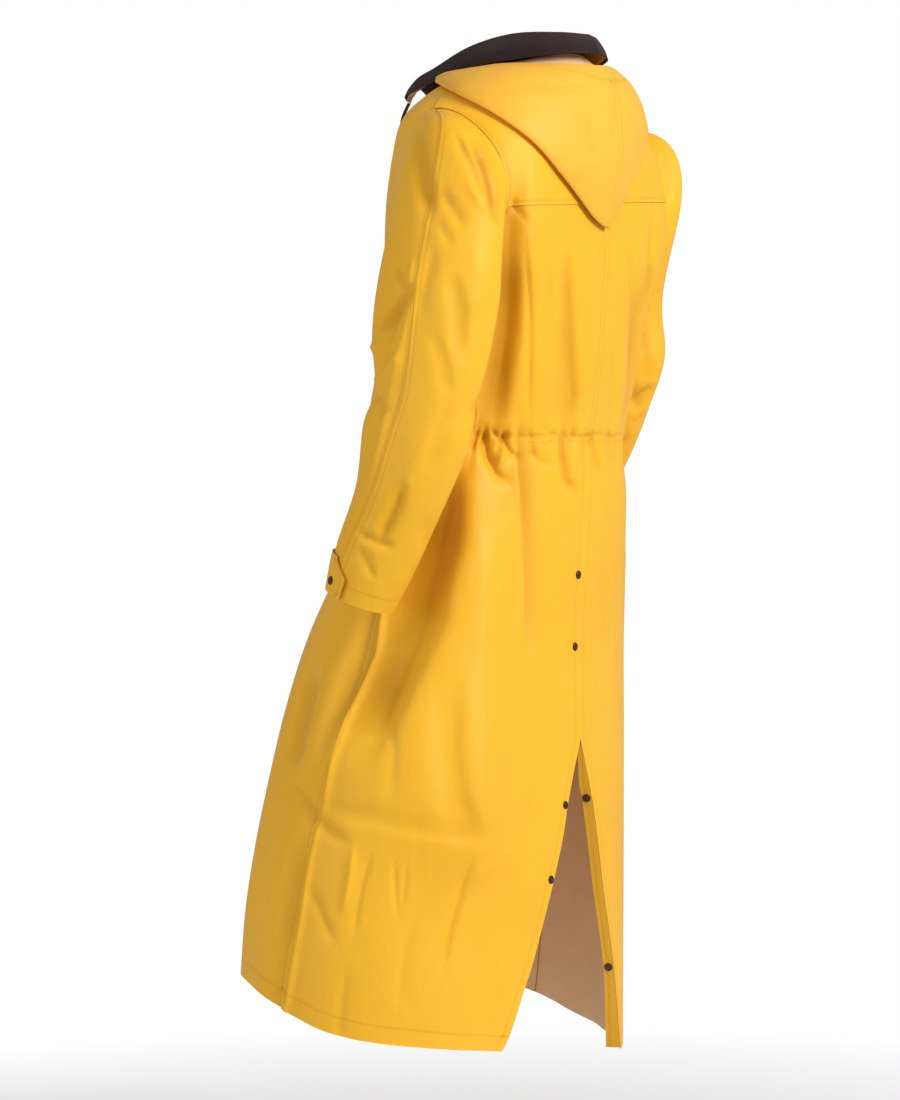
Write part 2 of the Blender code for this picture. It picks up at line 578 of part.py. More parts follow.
def build_collar():
    """Dark upper collar (stand, fold and fall) and the yellow under-collar below the fall."""
    angle, fold, edge = collar_path(21)
    away = unit((edge - fold) * np.array([1.0, 1.0, 0.0]))
    stand_foot = body(angle, np.full(len(angle), 0.0), -0.002) + np.array([0.0, 0.0, 0.0028])
    stand_mid = stand_foot * 0.45 + fold * 0.55 - away * 0.003
    crest = fold + away * 0.003 + np.array([0.0, 0.0, 0.0015])
    fall_mid = (fold + edge) / 2 + away * 0.004
    points = [stand_foot, stand_mid, fold, crest, fall_mid, edge]
    path = through(points, np.linspace(0.0, 1.0, 9))
    cloth("collar", path[:, ::-1], DARK, 0.0014)
    lower = [crest, fall_mid, edge]
    path = through(lower, np.linspace(0.28, 1.0, 5))
    inner = path - away * 0.0026 - np.array([0.0, 0.0, 0.0012])
    cloth("under_collar", inner[:, ::-1], YELLOW, 0.0010)


def build_cord():
    """The dark drawcord that hangs free below the collar's left point."""
    curve = bpy.data.curves.new("neck_cord", "CURVE")
    curve.dimensions = "3D"
    curve.bevel_depth = CORD_RADIUS
    curve.bevel_resolution = 2
    curve.use_fill_caps = True
    part = np.linspace(0.0, 1.0, CORD_POINTS)
    x = 0.035 + 0.002 * part
    y = -0.1465 - 0.0105 * np.sin(part * math.pi / 2.0)
    z = -0.0355 - 0.029 * part
    spline = curve.splines.new("POLY")
    spline.points.add(CORD_POINTS - 1)
    values = np.stack([x, y, z, np.ones(CORD_POINTS)], axis=-1)
    spline.points.foreach_set("co", values.ravel())
    curve.materials.append(new_material("neck_cord_material", DARK, 0.7))
    made = bpy.data.objects.new("neck_cord", curve)
    COAT.objects.link(made)


for old in list(bpy.data.objects):
    bpy.data.objects.remove(old, do_unlink=True)
COAT = bpy.data.collections.new("duster_coat")
bpy.context.scene.collection.children.link(COAT)
build_back()
build_fronts()
build_sleeve(1.0, "left")
build_sleeve(-1.0, "right")
build_underlap()
build_snaps()
build_collar()
build_hood()
build_cord()
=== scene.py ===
import math

import bmesh
import bpy
import numpy as np
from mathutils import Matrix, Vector


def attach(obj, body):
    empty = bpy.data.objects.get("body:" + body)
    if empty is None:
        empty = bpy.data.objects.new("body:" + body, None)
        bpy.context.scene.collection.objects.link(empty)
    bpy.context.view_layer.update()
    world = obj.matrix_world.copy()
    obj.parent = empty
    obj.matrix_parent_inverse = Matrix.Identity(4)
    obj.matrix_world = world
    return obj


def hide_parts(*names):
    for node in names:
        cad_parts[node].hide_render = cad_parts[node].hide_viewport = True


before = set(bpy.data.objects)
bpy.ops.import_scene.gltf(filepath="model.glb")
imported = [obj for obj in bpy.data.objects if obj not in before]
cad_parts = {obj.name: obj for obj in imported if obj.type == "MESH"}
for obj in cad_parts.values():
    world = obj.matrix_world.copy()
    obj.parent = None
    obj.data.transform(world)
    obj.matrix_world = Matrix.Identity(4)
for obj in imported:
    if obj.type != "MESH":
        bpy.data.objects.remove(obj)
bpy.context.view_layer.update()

# --- The camera ---
# A long lens looks at the coat's back left corner, level with its waist. Creases that show are placed by the
# pixel they have in the photograph, so the camera's numbers are used again on the cloth.
PHOTO_WIDTH = 900
PHOTO_HEIGHT = 1100
AZIMUTH = math.radians(120.0)
ELEVATION = math.radians(1.8)
DISTANCE = 4.8
AIM = np.array([0.0455, -0.0788, -0.618])
LENS_MM = 120.8
LONG_SIDE_MM = 36.0
TO_CAMERA = np.array(
    [math.sin(AZIMUTH) * math.cos(ELEVATION), -math.cos(AZIMUTH) * math.cos(ELEVATION), math.sin(ELEVATION)]
)
TO_RIGHT = np.array([math.cos(AZIMUTH), math.sin(AZIMUTH), 0.0])
TO_TOP = np.cross(TO_CAMERA, TO_RIGHT)
LENS_POINT = AIM + TO_CAMERA * DISTANCE
PIXELS_PER_TANGENT = LENS_MM / LONG_SIDE_MM * PHOTO_HEIGHT
MM_PER_PIXEL = 1.3


def on_photo(points):
    """Pixels where points fall: their offset from the middle over their distance, times the focal length."""
    offset = points - LENS_POINT
    away = -(offset @ TO_CAMERA)
    across = PHOTO_WIDTH / 2 + PIXELS_PER_TANGENT * (offset @ TO_RIGHT) / away
    down = PHOTO_HEIGHT / 2 - PIXELS_PER_TANGENT * (offset @ TO_TOP) / away
    return np.stack([across, down], axis=-1)


camera_data = bpy.data.cameras.new("camera")
camera_data.lens = LENS_MM
camera_data.sensor_width = LONG_SIDE_MM
camera = bpy.data.objects.new("camera", camera_data)
camera.location = Vector(LENS_POINT)
camera.rotation_euler = Vector(TO_CAMERA).to_track_quat("Z", "Y").to_euler()
bpy.context.scene.collection.objects.link(camera)
bpy.context.scene.camera = camera

# --- The drawcord ---
# A dark braided cord, 4.4 mm thick, comes out under the collar's left point and hangs free.
# Its tip is sealed round. The route repeats the solid's.
CORD_RADIUS = 0.0022
CORD_POINTS = 14
CORD_SIDES = 16
CORD_RINGS = 60
BRAID_PITCH = 0.0035
DARK_BROWN = (0.030, 0.013, 0.016)


def node(tree, kind, settings, inputs):
    """A new node of a kind, with its settings made and each input either linked or set."""
    made = tree.nodes.new(kind)
    for name, value in settings.items():
        setattr(made, name, value)
    for name, value in inputs.items():
        if isinstance(value, bpy.types.NodeSocket):
            tree.links.new(value, made.inputs[name])
        else:
            made.inputs[name].default_value = value
    return made


def maths(tree, operation, first, second=0.0):
    """The result of one sum on numbers or sockets."""
    return node(tree, "ShaderNodeMath", {"operation": operation}, {0: first, 1: second}).outputs[0]


def blend(tree, how_much, first, second):
    """Two colours mixed by a number or a socket."""
    settings = {"data_type": "RGBA"}
    return node(tree, "ShaderNodeMix", settings, {0: how_much, 6: first, 7: second}).outputs[2]


def remap(tree, value, low, high, new_low, new_high):
    """A value carried from one range to another and held inside it."""
    inputs = {"Value": value, "From Min": low, "From Max": high, "To Min": new_low, "To Max": new_high}
    return node(tree, "ShaderNodeMapRange", {}, inputs).outputs[0]


def noise(tree, where, size, detail=2.0, rough=0.5):
    """Cloudy noise whose lumps are about size metres across."""
    inputs = {"Vector": where, "Scale": 1.0 / size, "Detail": detail, "Roughness": rough}
    return node(tree, "ShaderNodeTexNoise", {}, inputs).outputs["Fac"]


def bump(tree, height, distance, strength, below=None):
    """A bump of a height pattern, laid over the bump below."""
    inputs = {"Height": height, "Distance": distance, "Strength": strength}
    if below is not None:
        inputs["Normal"] = below
    return node(tree, "ShaderNodeBump", {}, inputs).outputs[0]


def wave(tree, run, pitch):
    """A sine along a run, one turn to each pitch."""
    return maths(tree, "SINE", maths(tree, "MULTIPLY", run, 2.0 * math.pi / pitch))


def points_number(tree, name):
    """A number that the mesh carries at its points."""
    return node(tree, "ShaderNodeAttribute", {"attribute_name": name}, {}).outputs["Fac"]


def new_material(name, **settings):
    """An empty material and its Principled shader, with settings for the shader's inputs, where a space in an
    input's name is an underscore."""
    made = bpy.data.materials.new(name)
    made.use_nodes = True
    shader = made.node_tree.nodes["Principled BSDF"]
    for key, value in settings.items():
        shader.inputs[key.replace("_", " ")].default_value = value
    return made, made.node_tree, shader


def object_place(tree):
    """The object's own coordinates."""
    return tree.nodes.new("ShaderNodeTexCoord").outputs["Object"]


def cut_place(tree):
    """The two coordinates of the UV map, which for cloth are metres across and down the cut piece."""
    uv = node(tree, "ShaderNodeSeparateXYZ", {}, {0: tree.nodes.new("ShaderNodeUVMap").outputs[0]})
    return uv.outputs[0], uv.outputs[1]


def braided_cord():
    """Round braid: two sets of strands that cross as they wind round the cord, from its own UV map, with
    painted shade between the strands.
    """
    made, tree, shader = new_material("braided_cord", Roughness=0.72, Sheen_Weight=0.3)
    round_it, along_it = cut_place(tree)
    turns = maths(tree, "MULTIPLY", round_it, 8.0 * math.pi)
    run = maths(tree, "MULTIPLY", along_it, 2.0 * math.pi / BRAID_PITCH)
    one = maths(tree, "SINE", maths(tree, "ADD", turns, run))
    other = maths(tree, "SINE", maths(tree, "SUBTRACT", turns, run))
    strands = maths(tree, "MAXIMUM", one, other)
    tree.links.new(bump(tree, strands, 0.0004, 0.9), shader.inputs["Normal"])
    # Painted shade: the colour is darker where the strands dip, between them.
    shade = remap(tree, strands, -0.6, 1.0, 0.0, 1.0)
    colour = blend(tree, shade, (0.010, 0.005, 0.006, 1.0), (*DARK_BROWN, 1.0))
    tree.links.new(colour, shader.inputs["Base Color"])
    return made


def new_piece(name, mesh, part):
    """Puts a mesh in the scene as a piece that stands for a CAD node."""
    made = bpy.data.objects.new(name, mesh)
    bpy.context.scene.collection.objects.link(made)
    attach(made, "root")
    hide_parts(part)
    return made


def grid_mesh(name, grid, uv, attributes=None, round_columns=False):
    """A mesh of quads over rows by columns of points. It has its UV map in metres, its own numbers at its
    points, and a sharp border, so that a seam's edge isn't shaded round."""
    rows, columns = grid.shape[:2]
    index = np.arange(rows * columns).reshape(rows, columns)
    if round_columns:
        index = np.concatenate([index, index[:, :1]], axis=1)
    quads = np.stack([index[:-1, :-1], index[1:, :-1], index[1:, 1:], index[:-1, 1:]], axis=-1)
    corners = quads.reshape(-1, 4)
    mesh = bpy.data.meshes.new(name)
    mesh.from_pydata(grid.reshape(-1, 3).tolist(), [], corners.tolist())
    layer = mesh.uv_layers.new(name="cut")
    loops = np.zeros(len(mesh.loops), dtype=np.int32)
    mesh.loops.foreach_get("vertex_index", loops)
    layer.data.foreach_set("uv", uv.reshape(-1, 2)[loops].astype(np.float32).ravel())
    for key, values in (attributes or {}).items():
        made = mesh.attributes.new(key, "FLOAT", "POINT")
        made.data.foreach_set("value", np.ascontiguousarray(values, dtype=np.float32).ravel())
    mesh.shade_smooth()
    ends = np.zeros(2 * len(mesh.edges), dtype=np.int32)
    mesh.edges.foreach_get("vertices", ends)
    row, column = ends.reshape(-1, 2) // columns, ends.reshape(-1, 2) % columns
    border = (row == 0).all(axis=1) | (row == rows - 1).all(axis=1)
    if not round_columns:
        border = border | (column == 0).all(axis=1) | (column == columns - 1).all(axis=1)
    mesh.attributes.new("sharp_edge", "BOOLEAN", "EDGE").data.foreach_set("value", border)
    return mesh


def close_ends(mesh):
    """Fills the open ends of a tube and turns its faces outwards."""
    work = bmesh.new()
    work.from_mesh(mesh)
    bmesh.ops.holes_fill(work, edges=[edge for edge in work.edges if edge.is_boundary], sides=0)
    bmesh.ops.recalc_face_normals(work, faces=work.faces)
    work.to_mesh(mesh)
    work.free()
    mesh.shade_smooth()


def tube(path, radii, sides):
    """Rings round a path: each point plus cosine and sine of the turn times two directions across it."""
    along = np.gradient(path, axis=0)
    along /= np.linalg.norm(along, axis=1, keepdims=True)
    first = np.cross(along, np.array([1.0, 0.0, 0.0]))
    first /= np.linalg.norm(first, axis=1, keepdims=True)
    second = np.cross(along, first)
    turn = np.linspace(0.0, 2.0 * math.pi, sides, endpoint=False)[None, :, None]
    ring = np.cos(turn) * first[:, None] + np.sin(turn) * second[:, None]
    return path[:, None] + ring * radii[:, None, None]


cord_part = np.linspace(0.0, 1.0, CORD_POINTS)
cord_route = np.stack(
    [
        0.035 + 0.002 * cord_part,
        -0.1465 - 0.0105 * np.sin(cord_part * math.pi / 2.0),
        -0.0355 - 0.029 * cord_part,
    ],
    axis=-1,
)
cord_steps = np.linalg.norm(np.diff(cord_route, axis=0), axis=1)
cord_length = float(cord_steps.sum())
fine_part = np.linspace(0.0, 1.0, CORD_RINGS)
fine_route = np.stack([np.interp(fine_part, cord_part, cord_route[:, k]) for k in range(3)], axis=-1)
tip = np.clip((1.0 - fine_part) * cord_length / CORD_RADIUS, 0.0, 1.0)
cord_radii = CORD_RADIUS * np.sqrt(np.maximum(1.0 - (1.0 - tip) ** 2, 0.02))
cord_grid = tube(fine_route, cord_radii, CORD_SIDES)
cord_uv = np.stack(
    np.meshgrid(fine_part * cord_length, np.linspace(0.0, 1.0, CORD_SIDES), indexing="ij")[::-1], axis=-1
)
cord_mesh = grid_mesh("drawcord", cord_grid, cord_uv, round_columns=True)
close_ends(cord_mesh)
cord_mesh.materials.append(braided_cord())
drawcord = new_piece("drawcord", cord_mesh, "neck_cord")

# --- The back: bodice and skirt ---
# Coated cloth, bright yellow outside and pale peach inside. Two bodice halves meet in a seam down the middle
# of the back. The skirt is gathered on to them at the waist, snapped together down to the vent and open
# below it.
CLOTH = 0.0009
HEM_LEVEL = 16.0
WAIST_LEVEL = 8.0
BACK_TOP_LEVEL = 3.45
VENT_TOP_LEVEL = 12.2
SWEEP_LEVEL = 11.0
ARMHOLE_TOP = 2.0
ARMHOLE_FOOT = 6.0
ARMHOLE_BACK = 42.0
ARMHOLE_FRONT = 27.0
YELLOW_LIT = (0.880, 0.462, 0.022)
YELLOW_DEEP = (0.740, 0.330, 0.006)
YELLOW_PAINTED_SHADE = (0.530, 0.230, 0.001)
YELLOW_WORN = (0.930, 0.560, 0.060)
THREAD = (0.660, 0.300, 0.020)
PEACH = (0.870, 0.560, 0.300)
PEACH_DEEP = (0.800, 0.460, 0.200)
HEM_BROWN = (0.500, 0.200, 0.008)
STITCH = 0.0034
STITCH_INSET = 0.0052
WEAVE = 0.0011
REVERSE_WEAVE = 0.0014

# Rings of the body from neck to hem: heights at the side, back and front; how much lower the right side
# hangs; centre; half widths left and right; depths back and front; squareness of the back and front halves.
BODY_COLUMNS = (
    "side_z", "back_z", "front_z", "swing", "mid_x", "mid_y",
    "left", "right", "back", "front", "square", "front_square",
)
BODY_RINGS = (
    (-0.004, 0.016, -0.052, 0.000, 0.000, -0.018, 0.085, 0.085, 0.098, 0.100, 2.0, 2.0),
    (-0.028, -0.010, -0.064, 0.000, 0.000, -0.012, 0.145, 0.145, 0.114, 0.116, 2.1, 2.0),
    (-0.062, -0.052, -0.086, 0.000, 0.000, -0.008, 0.206, 0.206, 0.124, 0.122, 2.4, 2.0),
    (-0.112, -0.110, -0.122, 0.000, 0.000, -0.007, 0.228, 0.228, 0.132, 0.127, 3.6, 2.0),
    (-0.172, -0.172, -0.176, 0.000, 0.000, -0.007, 0.238, 0.238, 0.135, 0.134, 4.4, 2.0),
    (-0.245, -0.245, -0.247, 0.000, 0.000, -0.007, 0.232, 0.232, 0.134, 0.137, 4.2, 2.1),
    (-0.305, -0.305, -0.306, 0.000, 0.000, -0.010, 0.205, 0.205, 0.132, 0.140, 3.6, 2.3),
    (-0.385, -0.385, -0.385, 0.000, 0.000, -0.018, 0.202, 0.202, 0.134, 0.148, 3.0, 2.3),
    (-0.472, -0.472, -0.472, 0.000, 0.000, -0.030, 0.204, 0.206, 0.133, 0.157, 2.5, 2.2),
    (-0.540, -0.541, -0.539, 0.001, 0.005, -0.037, 0.212, 0.250, 0.138, 0.150, 2.3, 2.1),
    (-0.620, -0.621, -0.614, 0.004, 0.014, -0.048, 0.220, 0.278, 0.149, 0.160, 2.1, 2.0),
    (-0.733, -0.735, -0.720, 0.010, 0.025, -0.064, 0.252, 0.310, 0.164, 0.188, 2.0, 2.0),
    (-0.829, -0.832, -0.806, 0.018, 0.035, -0.070, 0.280, 0.316, 0.177, 0.202, 2.0, 2.0),
    (-0.924, -0.927, -0.890, 0.028, 0.043, -0.077, 0.297, 0.322, 0.189, 0.209, 2.0, 2.0),
    (-1.014, -1.024, -0.964, 0.040, 0.050, -0.084, 0.309, 0.333, 0.198, 0.211, 2.0, 2.0),
    (-1.103, -1.118, -1.036, 0.053, 0.056, -0.090, 0.317, 0.338, 0.207, 0.210, 2.0, 2.0),
    (-1.188, -1.211, -1.112, 0.067, 0.060, -0.094, 0.322, 0.340, 0.214, 0.206, 2.0, 2.0),
)
EDGE_LEVELS = (6.0, 10.0, 12.1, 13.0, 14.0, 15.0, 16.0)
SIDE_SEAM = (0.0, 0.0, -2.2, -4.5, -6.5, -8.5, -10.0)
VENT_LEFT = (90.0, 90.0, 90.0, 83.5, 77.0, 70.0, 61.0)
VENT_RIGHT = (90.0, 90.0, 90.0, 97.0, 103.5, 112.0, 120.0)

# Large folds all round, by angle round the ring and level of both ends, half width in degrees and depth in
# metres. The last rows are finer ones on the sides that the photograph doesn't show.
BODY_FOLDS = (
    (120.0, 5.0, 124.0, 8.0, 7.0, -0.006),
    (132.0, 8.0, 138.0, 10.0, 6.0, -0.007),
    (-34.0, 10.6, -40.0, 16.0, 8.0, 0.006),
    (56.0, 11.0, 46.0, 16.0, 8.0, 0.006),
    (150.0, 10.0, 150.0, 16.0, 9.0, -0.009),
    (186.0, 10.0, 192.0, 16.0, 10.0, 0.010),
    (-120.0, 9.5, -124.0, 16.0, 10.0, -0.012),
    (-60.0, 6.5, -66.0, 8.6, 8.0, -0.007),
    (-120.0, 5.0, -112.0, 8.4, 8.0, -0.007),
    (164.0, 8.1, 168.0, 11.4, 4.0, -0.006),
    (-168.0, 8.1, -172.0, 10.2, 3.0, -0.005),
    (-150.0, 8.0, -156.0, 12.6, 4.5, -0.007),
    (-136.0, 8.1, -134.0, 9.7, 2.6, -0.005),
    (-104.0, 8.1, -108.0, 10.9, 3.0, -0.005),
    (-72.0, 8.1, -70.0, 10.4, 3.0, -0.006),
    (-48.0, 8.1, -46.0, 9.8, 2.6, -0.005),
    (-58.0, 10.4, -54.0, 13.8, 5.0, -0.005),
    (-140.0, 12.2, -152.0, 15.2, 4.0, -0.004),
    (-172.0, 12.8, -160.0, 14.6, 3.4, -0.003),
    (-44.0, 3.2, -58.0, 6.8, 4.0, -0.004),
    (-138.0, 3.4, -126.0, 7.0, 4.0, -0.004),
    (-76.0, 5.2, -74.0, 7.9, 3.0, -0.004),
    (-102.0, 5.6, -106.0, 7.9, 3.0, -0.004),
)

# Creases that the photograph shows on the body: the line's pixels; how far the crease reaches to the left and
# the right of it and its depth, in millimetres (a trough is plus, a ridge minus); and how far the side right
# of the line stands over the other.
BODY_CREASES = (
    # bodice
    (((517, 130), (513, 200), (511, 260), (506, 330), (495, 400), (486, 470)), 28, 17, 15.0, 0.0),
    (((567, 230), (573, 325), (577, 398), (570, 466)), 10, 5.0, 8.5, 0.0),
    (((562, 300), (564, 370), (560, 446)), 16, 15, 3.4, 0.0),
    (((526, 214), (532, 330), (529, 440)), 5, 3.2, 3.4, 0.0),
    (((545, 214), (550, 290), (543, 380)), 12, 6, 2.0, 0.0),
    (((630, 216), (634, 304), (630, 400)), 6, 3.5, 3.6, 0.0),
    (((655, 195), (652, 262), (649, 335)), 5, 3.5, 4.4, 0.0),
    (((612, 330), (614, 380), (610, 446)), 7, 5, 2.2, 0.0),
    (((503, 220), (512, 205), (522, 195)), 3.5, 3, 3.8, 0.0),
    (((514, 196), (522, 210), (532, 226)), 3.5, 3, 3.8, 0.0),
    (((474, 404), (472, 424), (473, 440)), 4, 3, 3.0, 0.0),
    # gathers at the waist
    (((484, 420), (486, 440), (488, 457), (497, 474), (513, 488)), 8, 6, 9.0, 0.0),
    (((496, 466), (503, 452), (508, 434)), 4, 4, -4.5, 0.0),
    (((503, 426), (506, 444), (513, 454), (526, 459)), 5, 3, 6.0, 0.0),
    (((518, 400), (520, 446), (523, 490), (526, 560), (528, 700)), 4, 14, 12.0, 0.0),
    (((513, 448), (515, 478), (517, 520)), 5, 5, -3.0, 0.0),
    (((568, 424), (566, 455), (570, 480), (582, 502)), 8, 4.5, 8.5, 0.0),
    (((556, 440), (557, 470), (560, 500)), 6, 5, -2.4, 0.0),
    (((588, 430), (595, 450), (603, 480)), 5, 3, 5.0, 0.0),
    (((579, 430), (583, 446), (585, 466)), 4, 3, 2.6, 0.0),
    (((608, 428), (612, 444), (613, 470)), 5, 3.5, 4.0, 0.0),
    (((470, 454), (474, 442), (481, 428)), 3.5, 3, 5.0, 0.0),
    (((479, 454), (484, 442), (489, 428)), 3, 3, 4.0, 0.0),
    (((490, 428), (498, 436), (507, 450)), 3, 3, 4.0, 0.0),
    (((495, 454), (502, 443), (509, 430)), 3, 3, 3.4, 0.0),
    (((529, 426), (533, 441), (536, 460)), 5, 3, 3.0, 0.0),
    (((529, 448), (541, 461), (556, 467)), 7, 4, 2.4, 0.0),
    (((540, 424), (548, 432), (560, 436)), 4, 4, 1.4, 0.0),
    # skirt
    (
        ((452, 440), (444, 508), (438, 545), (430, 577), (422, 622), (404, 663), (382, 712), (352, 780)),
        58, 22, 29.0, 0.0,
    ),
    (((474, 440), (474, 560), (470, 680), (468, 790), (472, 940)), 108, 46, -33.0, 0.0),
    (((545, 520), (548, 600), (546, 680)), 14, 18, 2.6, 0.0),
    (((390, 550), (372, 650), (357, 683), (342, 719), (333, 753), (319, 822), (316, 850)), 16, 6, 0.0, 8.0),
    (((324, 790), (306, 875), (301, 906), (293, 952), (281, 1024), (272, 1080)), 14, 5, 0.0, 6.5),
    (((283, 768), (302, 795), (318, 818), (335, 834), (356, 848)), 9, 6, 6.0, 0.0),
    (((355, 842), (350, 880), (342, 918)), 6, 5, -4.0, 0.0),
    (((318, 650), (303, 712), (286, 785)), 15, 13, 9.0, 0.0),
    (((302, 830), (292, 890), (284, 960)), 12, 12, 4.0, 0.0),
    (((446, 670), (443, 750), (448, 798), (460, 829), (486, 850)), 22, 12, 6.5, 0.0),
    (((290, 804), (360, 818), (418, 831), (506, 843)), 9, 16, 2.6, 0.0),
    (((468, 846), (457, 905), (440, 984)), 8, 3.5, 5.0, 0.0),
    (((374, 846), (362, 886), (352, 945)), 7, 4, 3.0, 0.0),
    (((306, 878), (321, 912), (336, 948)), 7, 5, 3.2, 0.0),
    (((393, 856), (395, 888), (398, 922)), 4, 3, 2.2, 0.0),
    (((405, 860), (404, 886), (402, 912)), 3.5, 2.6, 1.6, 0.0),
    (((557, 790), (534, 890), (505, 1000)), 20, 20, -3.5, 0.0),
    (((515, 842), (486, 866), (462, 884)), 9, 9, -2.0, 0.0),
    (((388, 700), (394, 752), (390, 806)), 10, 8, 3.0, 0.0),
    (((575, 505), (574, 560), (577, 640)), 8, 8, 1.8, 0.0),
    (((604, 520), (603, 640), (605, 740)), 10, 10, 1.6, 0.0),
    (((576, 742), (572, 790), (564, 836)), 7, 7, 1.8, 0.0),
    (((420, 905), (404, 960), (398, 1020)), 9, 9, 2.4, 0.0),
    (((348, 960), (342, 1000), (338, 1050)), 8, 8, 2.4, 0.0),
    (((596, 880), (600, 950), (606, 1020)), 6, 6, 2.0, 0.0),
)


def table(columns, rows):
    """The rows of a table as a dictionary of columns."""
    return dict(zip(columns, np.array(rows, dtype=float).T))


BODY = table(BODY_COLUMNS, BODY_RINGS)


def smooth_between(values, at):
    """A cubic curve through values, one per whole number, whose slope at each is half the step across it."""
    values = np.asarray(values, dtype=float)
    last = len(values) - 1
    at = np.clip(at, 0.0, last)
    low = np.minimum(at.astype(int), last - 1)
    part = at - low
    part = part.reshape(part.shape + (1,) * (values.ndim - 1))
    before = values[np.maximum(low - 1, 0)]
    start = values[low]
    end = values[low + 1]
    after = values[np.minimum(low + 2, last)]
    return (
        start * (2 * part**3 - 3 * part**2 + 1)
        + (end - before) / 2 * (part**3 - 2 * part**2 + part)
        + end * (3 * part**2 - 2 * part**3)
        + (after - start) / 2 * (part**3 - part**2)
    )


FADE_PART = 0.30


def smooth_step(value):
    """0 below 0, 1 above 1 and a soft rise between: three squares less two cubes."""
    value = np.clip(value, 0.0, 1.0)
    return value * value * (3.0 - 2.0 * value)


def bell(gap, width):
    """1 at no gap, falling away smoothly over the width to both sides."""
    return np.exp(-((gap / width) ** 2))


def turned_from(angle, centre):
    """How far an angle is turned from another, from -180 to 180 degrees."""
    return (angle - centre + 180.0) % 360.0 - 180.0


def faded_ends(along):
    """1 along the middle of a line and nothing at both ends."""
    return smooth_step(along / FADE_PART) * smooth_step((1.0 - along) / FADE_PART)


def fold_depth(angle, level):
    """Sum of the large folds: each is a bell across its line times a half sine along it."""
    depth = np.zeros(np.broadcast(angle, level).shape)
    for angle_a, level_a, angle_b, level_b, width, deep in BODY_FOLDS:
        along = np.clip((level - level_a) / (level_b - level_a), 0.0, 1.0)
        if level_b >= HEM_LEVEL:
            fade = np.sin(along * math.pi / 2.0)
        else:
            fade = np.abs(np.sin(along * math.pi)) ** 0.6
        centre = angle_a + (angle_b - angle_a) * along
        depth = depth + deep * fade * bell(turned_from(angle, centre), width)
    return depth


def beside(pixels, line):
    """Signed distance in millimetres from a line of pixels, plus to its right going down it, and the part
    along it, 0 to 1."""
    line = np.array(line, dtype=float)
    lengths = np.linalg.norm(np.diff(line, axis=0), axis=1)
    best = np.full(pixels.shape[:-1], 1e9)
    signed = best.copy()
    along = np.zeros(best.shape)
    for number, length in enumerate(lengths):
        way = (line[number + 1] - line[number]) / length
        offset = pixels - line[number]
        run = np.clip(offset @ way, 0.0, length)
        foot = offset - run[..., None] * way
        gap = np.linalg.norm(foot, axis=-1)
        side = np.sign(way[1] * offset[..., 0] - way[0] * offset[..., 1])
        nearer = gap < best
        best = np.where(nearer, gap, best)
        signed = np.where(nearer, gap * side, signed)
        along = np.where(nearer, (lengths[:number].sum() + run) / lengths.sum(), along)
    return signed * MM_PER_PIXEL, along


SHARP_BELOW = 20.0
SHARP_POWER = 1.5
SOFT_POWER = 2.6
EDGE_ON = 0.04
WELL_SEEN = 0.26


def crease_depth(points, normals, creases):
    """Sum over the creases of minus a bell, plus a one-sided step, faded at both ends and off the seen side.
    A ridge or a narrow trough comes to a sharper line than a wide trough does."""
    pixels = on_photo(points)
    facing = ((LENS_POINT - points) * normals).sum(axis=-1) / np.linalg.norm(LENS_POINT - points, axis=-1)
    total = np.zeros(facing.shape)
    for line, left, right, depth, step in creases:
        across, along = beside(pixels, line)
        near = across / np.where(across > 0.0, right, left)
        sharp = depth < 0.0 or left + right < SHARP_BELOW
        trough = np.exp(-(np.abs(near) ** (SHARP_POWER if sharp else SOFT_POWER)))
        total += faded_ends(along) * (step * near * np.exp(0.5 - near**2) * 0.8 - depth * trough)
    return total * 0.001 * smooth_step((facing - EDGE_ON) / (WELL_SEEN - EDGE_ON))


def body_plain(angle, level):
    """Point of the body: a rounded ring whose sizes run smoothly down the table. Near the hem the height
    falls away quickly behind the side seam and rises evenly in front of it."""
    row = {name: smooth_between(BODY[name], level) for name in BODY_COLUMNS}
    turn = np.radians(angle)
    cosine = np.cos(turn)
    sine = np.sin(turn)
    square = np.where(sine > 0, row["square"], row["front_square"])
    reach = (np.abs(cosine) ** square + np.abs(sine) ** square) ** (-1.0 / square)
    half = np.where(cosine > 0, row["left"], row["right"])
    deep = np.where(sine > 0, row["back"], row["front"])
    x = row["mid_x"] + half * cosine * reach
    y = row["mid_y"] + deep * sine * reach
    rise = np.where(sine > 0, row["back_z"] - row["side_z"], row["front_z"] - row["side_z"])
    drop = row["swing"] * np.clip((1.0 - cosine) / 1.5, 0.0, 1.0)
    hem_part = np.clip((level - SWEEP_LEVEL) / (HEM_LEVEL - SWEEP_LEVEL), 0.0, 1.0)
    hem_rise = np.where(sine > 0, 1.0 - (1.0 - np.abs(sine)) ** 4, np.abs(sine))
    z = row["side_z"] + rise * (sine**2 * (1.0 - hem_part) + hem_rise * hem_part) - drop
    return np.stack([x, y, z], axis=-1)


def unit(vectors):
    """Each vector over its own length."""
    return vectors / np.maximum(np.linalg.norm(vectors, axis=-1, keepdims=True), 1e-9)


GATHER_SEED = 11
GATHER_RNG = np.random.default_rng(GATHER_SEED)
GATHER_ANGLES = np.cumsum(GATHER_RNG.uniform(4.6, 9.4, 60))
GATHER_ANGLES = GATHER_ANGLES[GATHER_ANGLES < 356.0]
GATHER_LENGTHS = GATHER_RNG.uniform(0.35, 1.10, len(GATHER_ANGLES))
GATHER_DEPTHS = GATHER_RNG.uniform(0.0012, 0.0042, len(GATHER_ANGLES))
GATHER_SLANTS = GATHER_RNG.uniform(-3.0, 3.0, len(GATHER_ANGLES))
GATHER_DROPS = GATHER_RNG.uniform(0.0005, 0.0032, len(GATHER_ANGLES))
GROOVE_DEPTH = 0.0011
PUFF_HEIGHT = 0.0006
SEAM_DROP = 0.0012


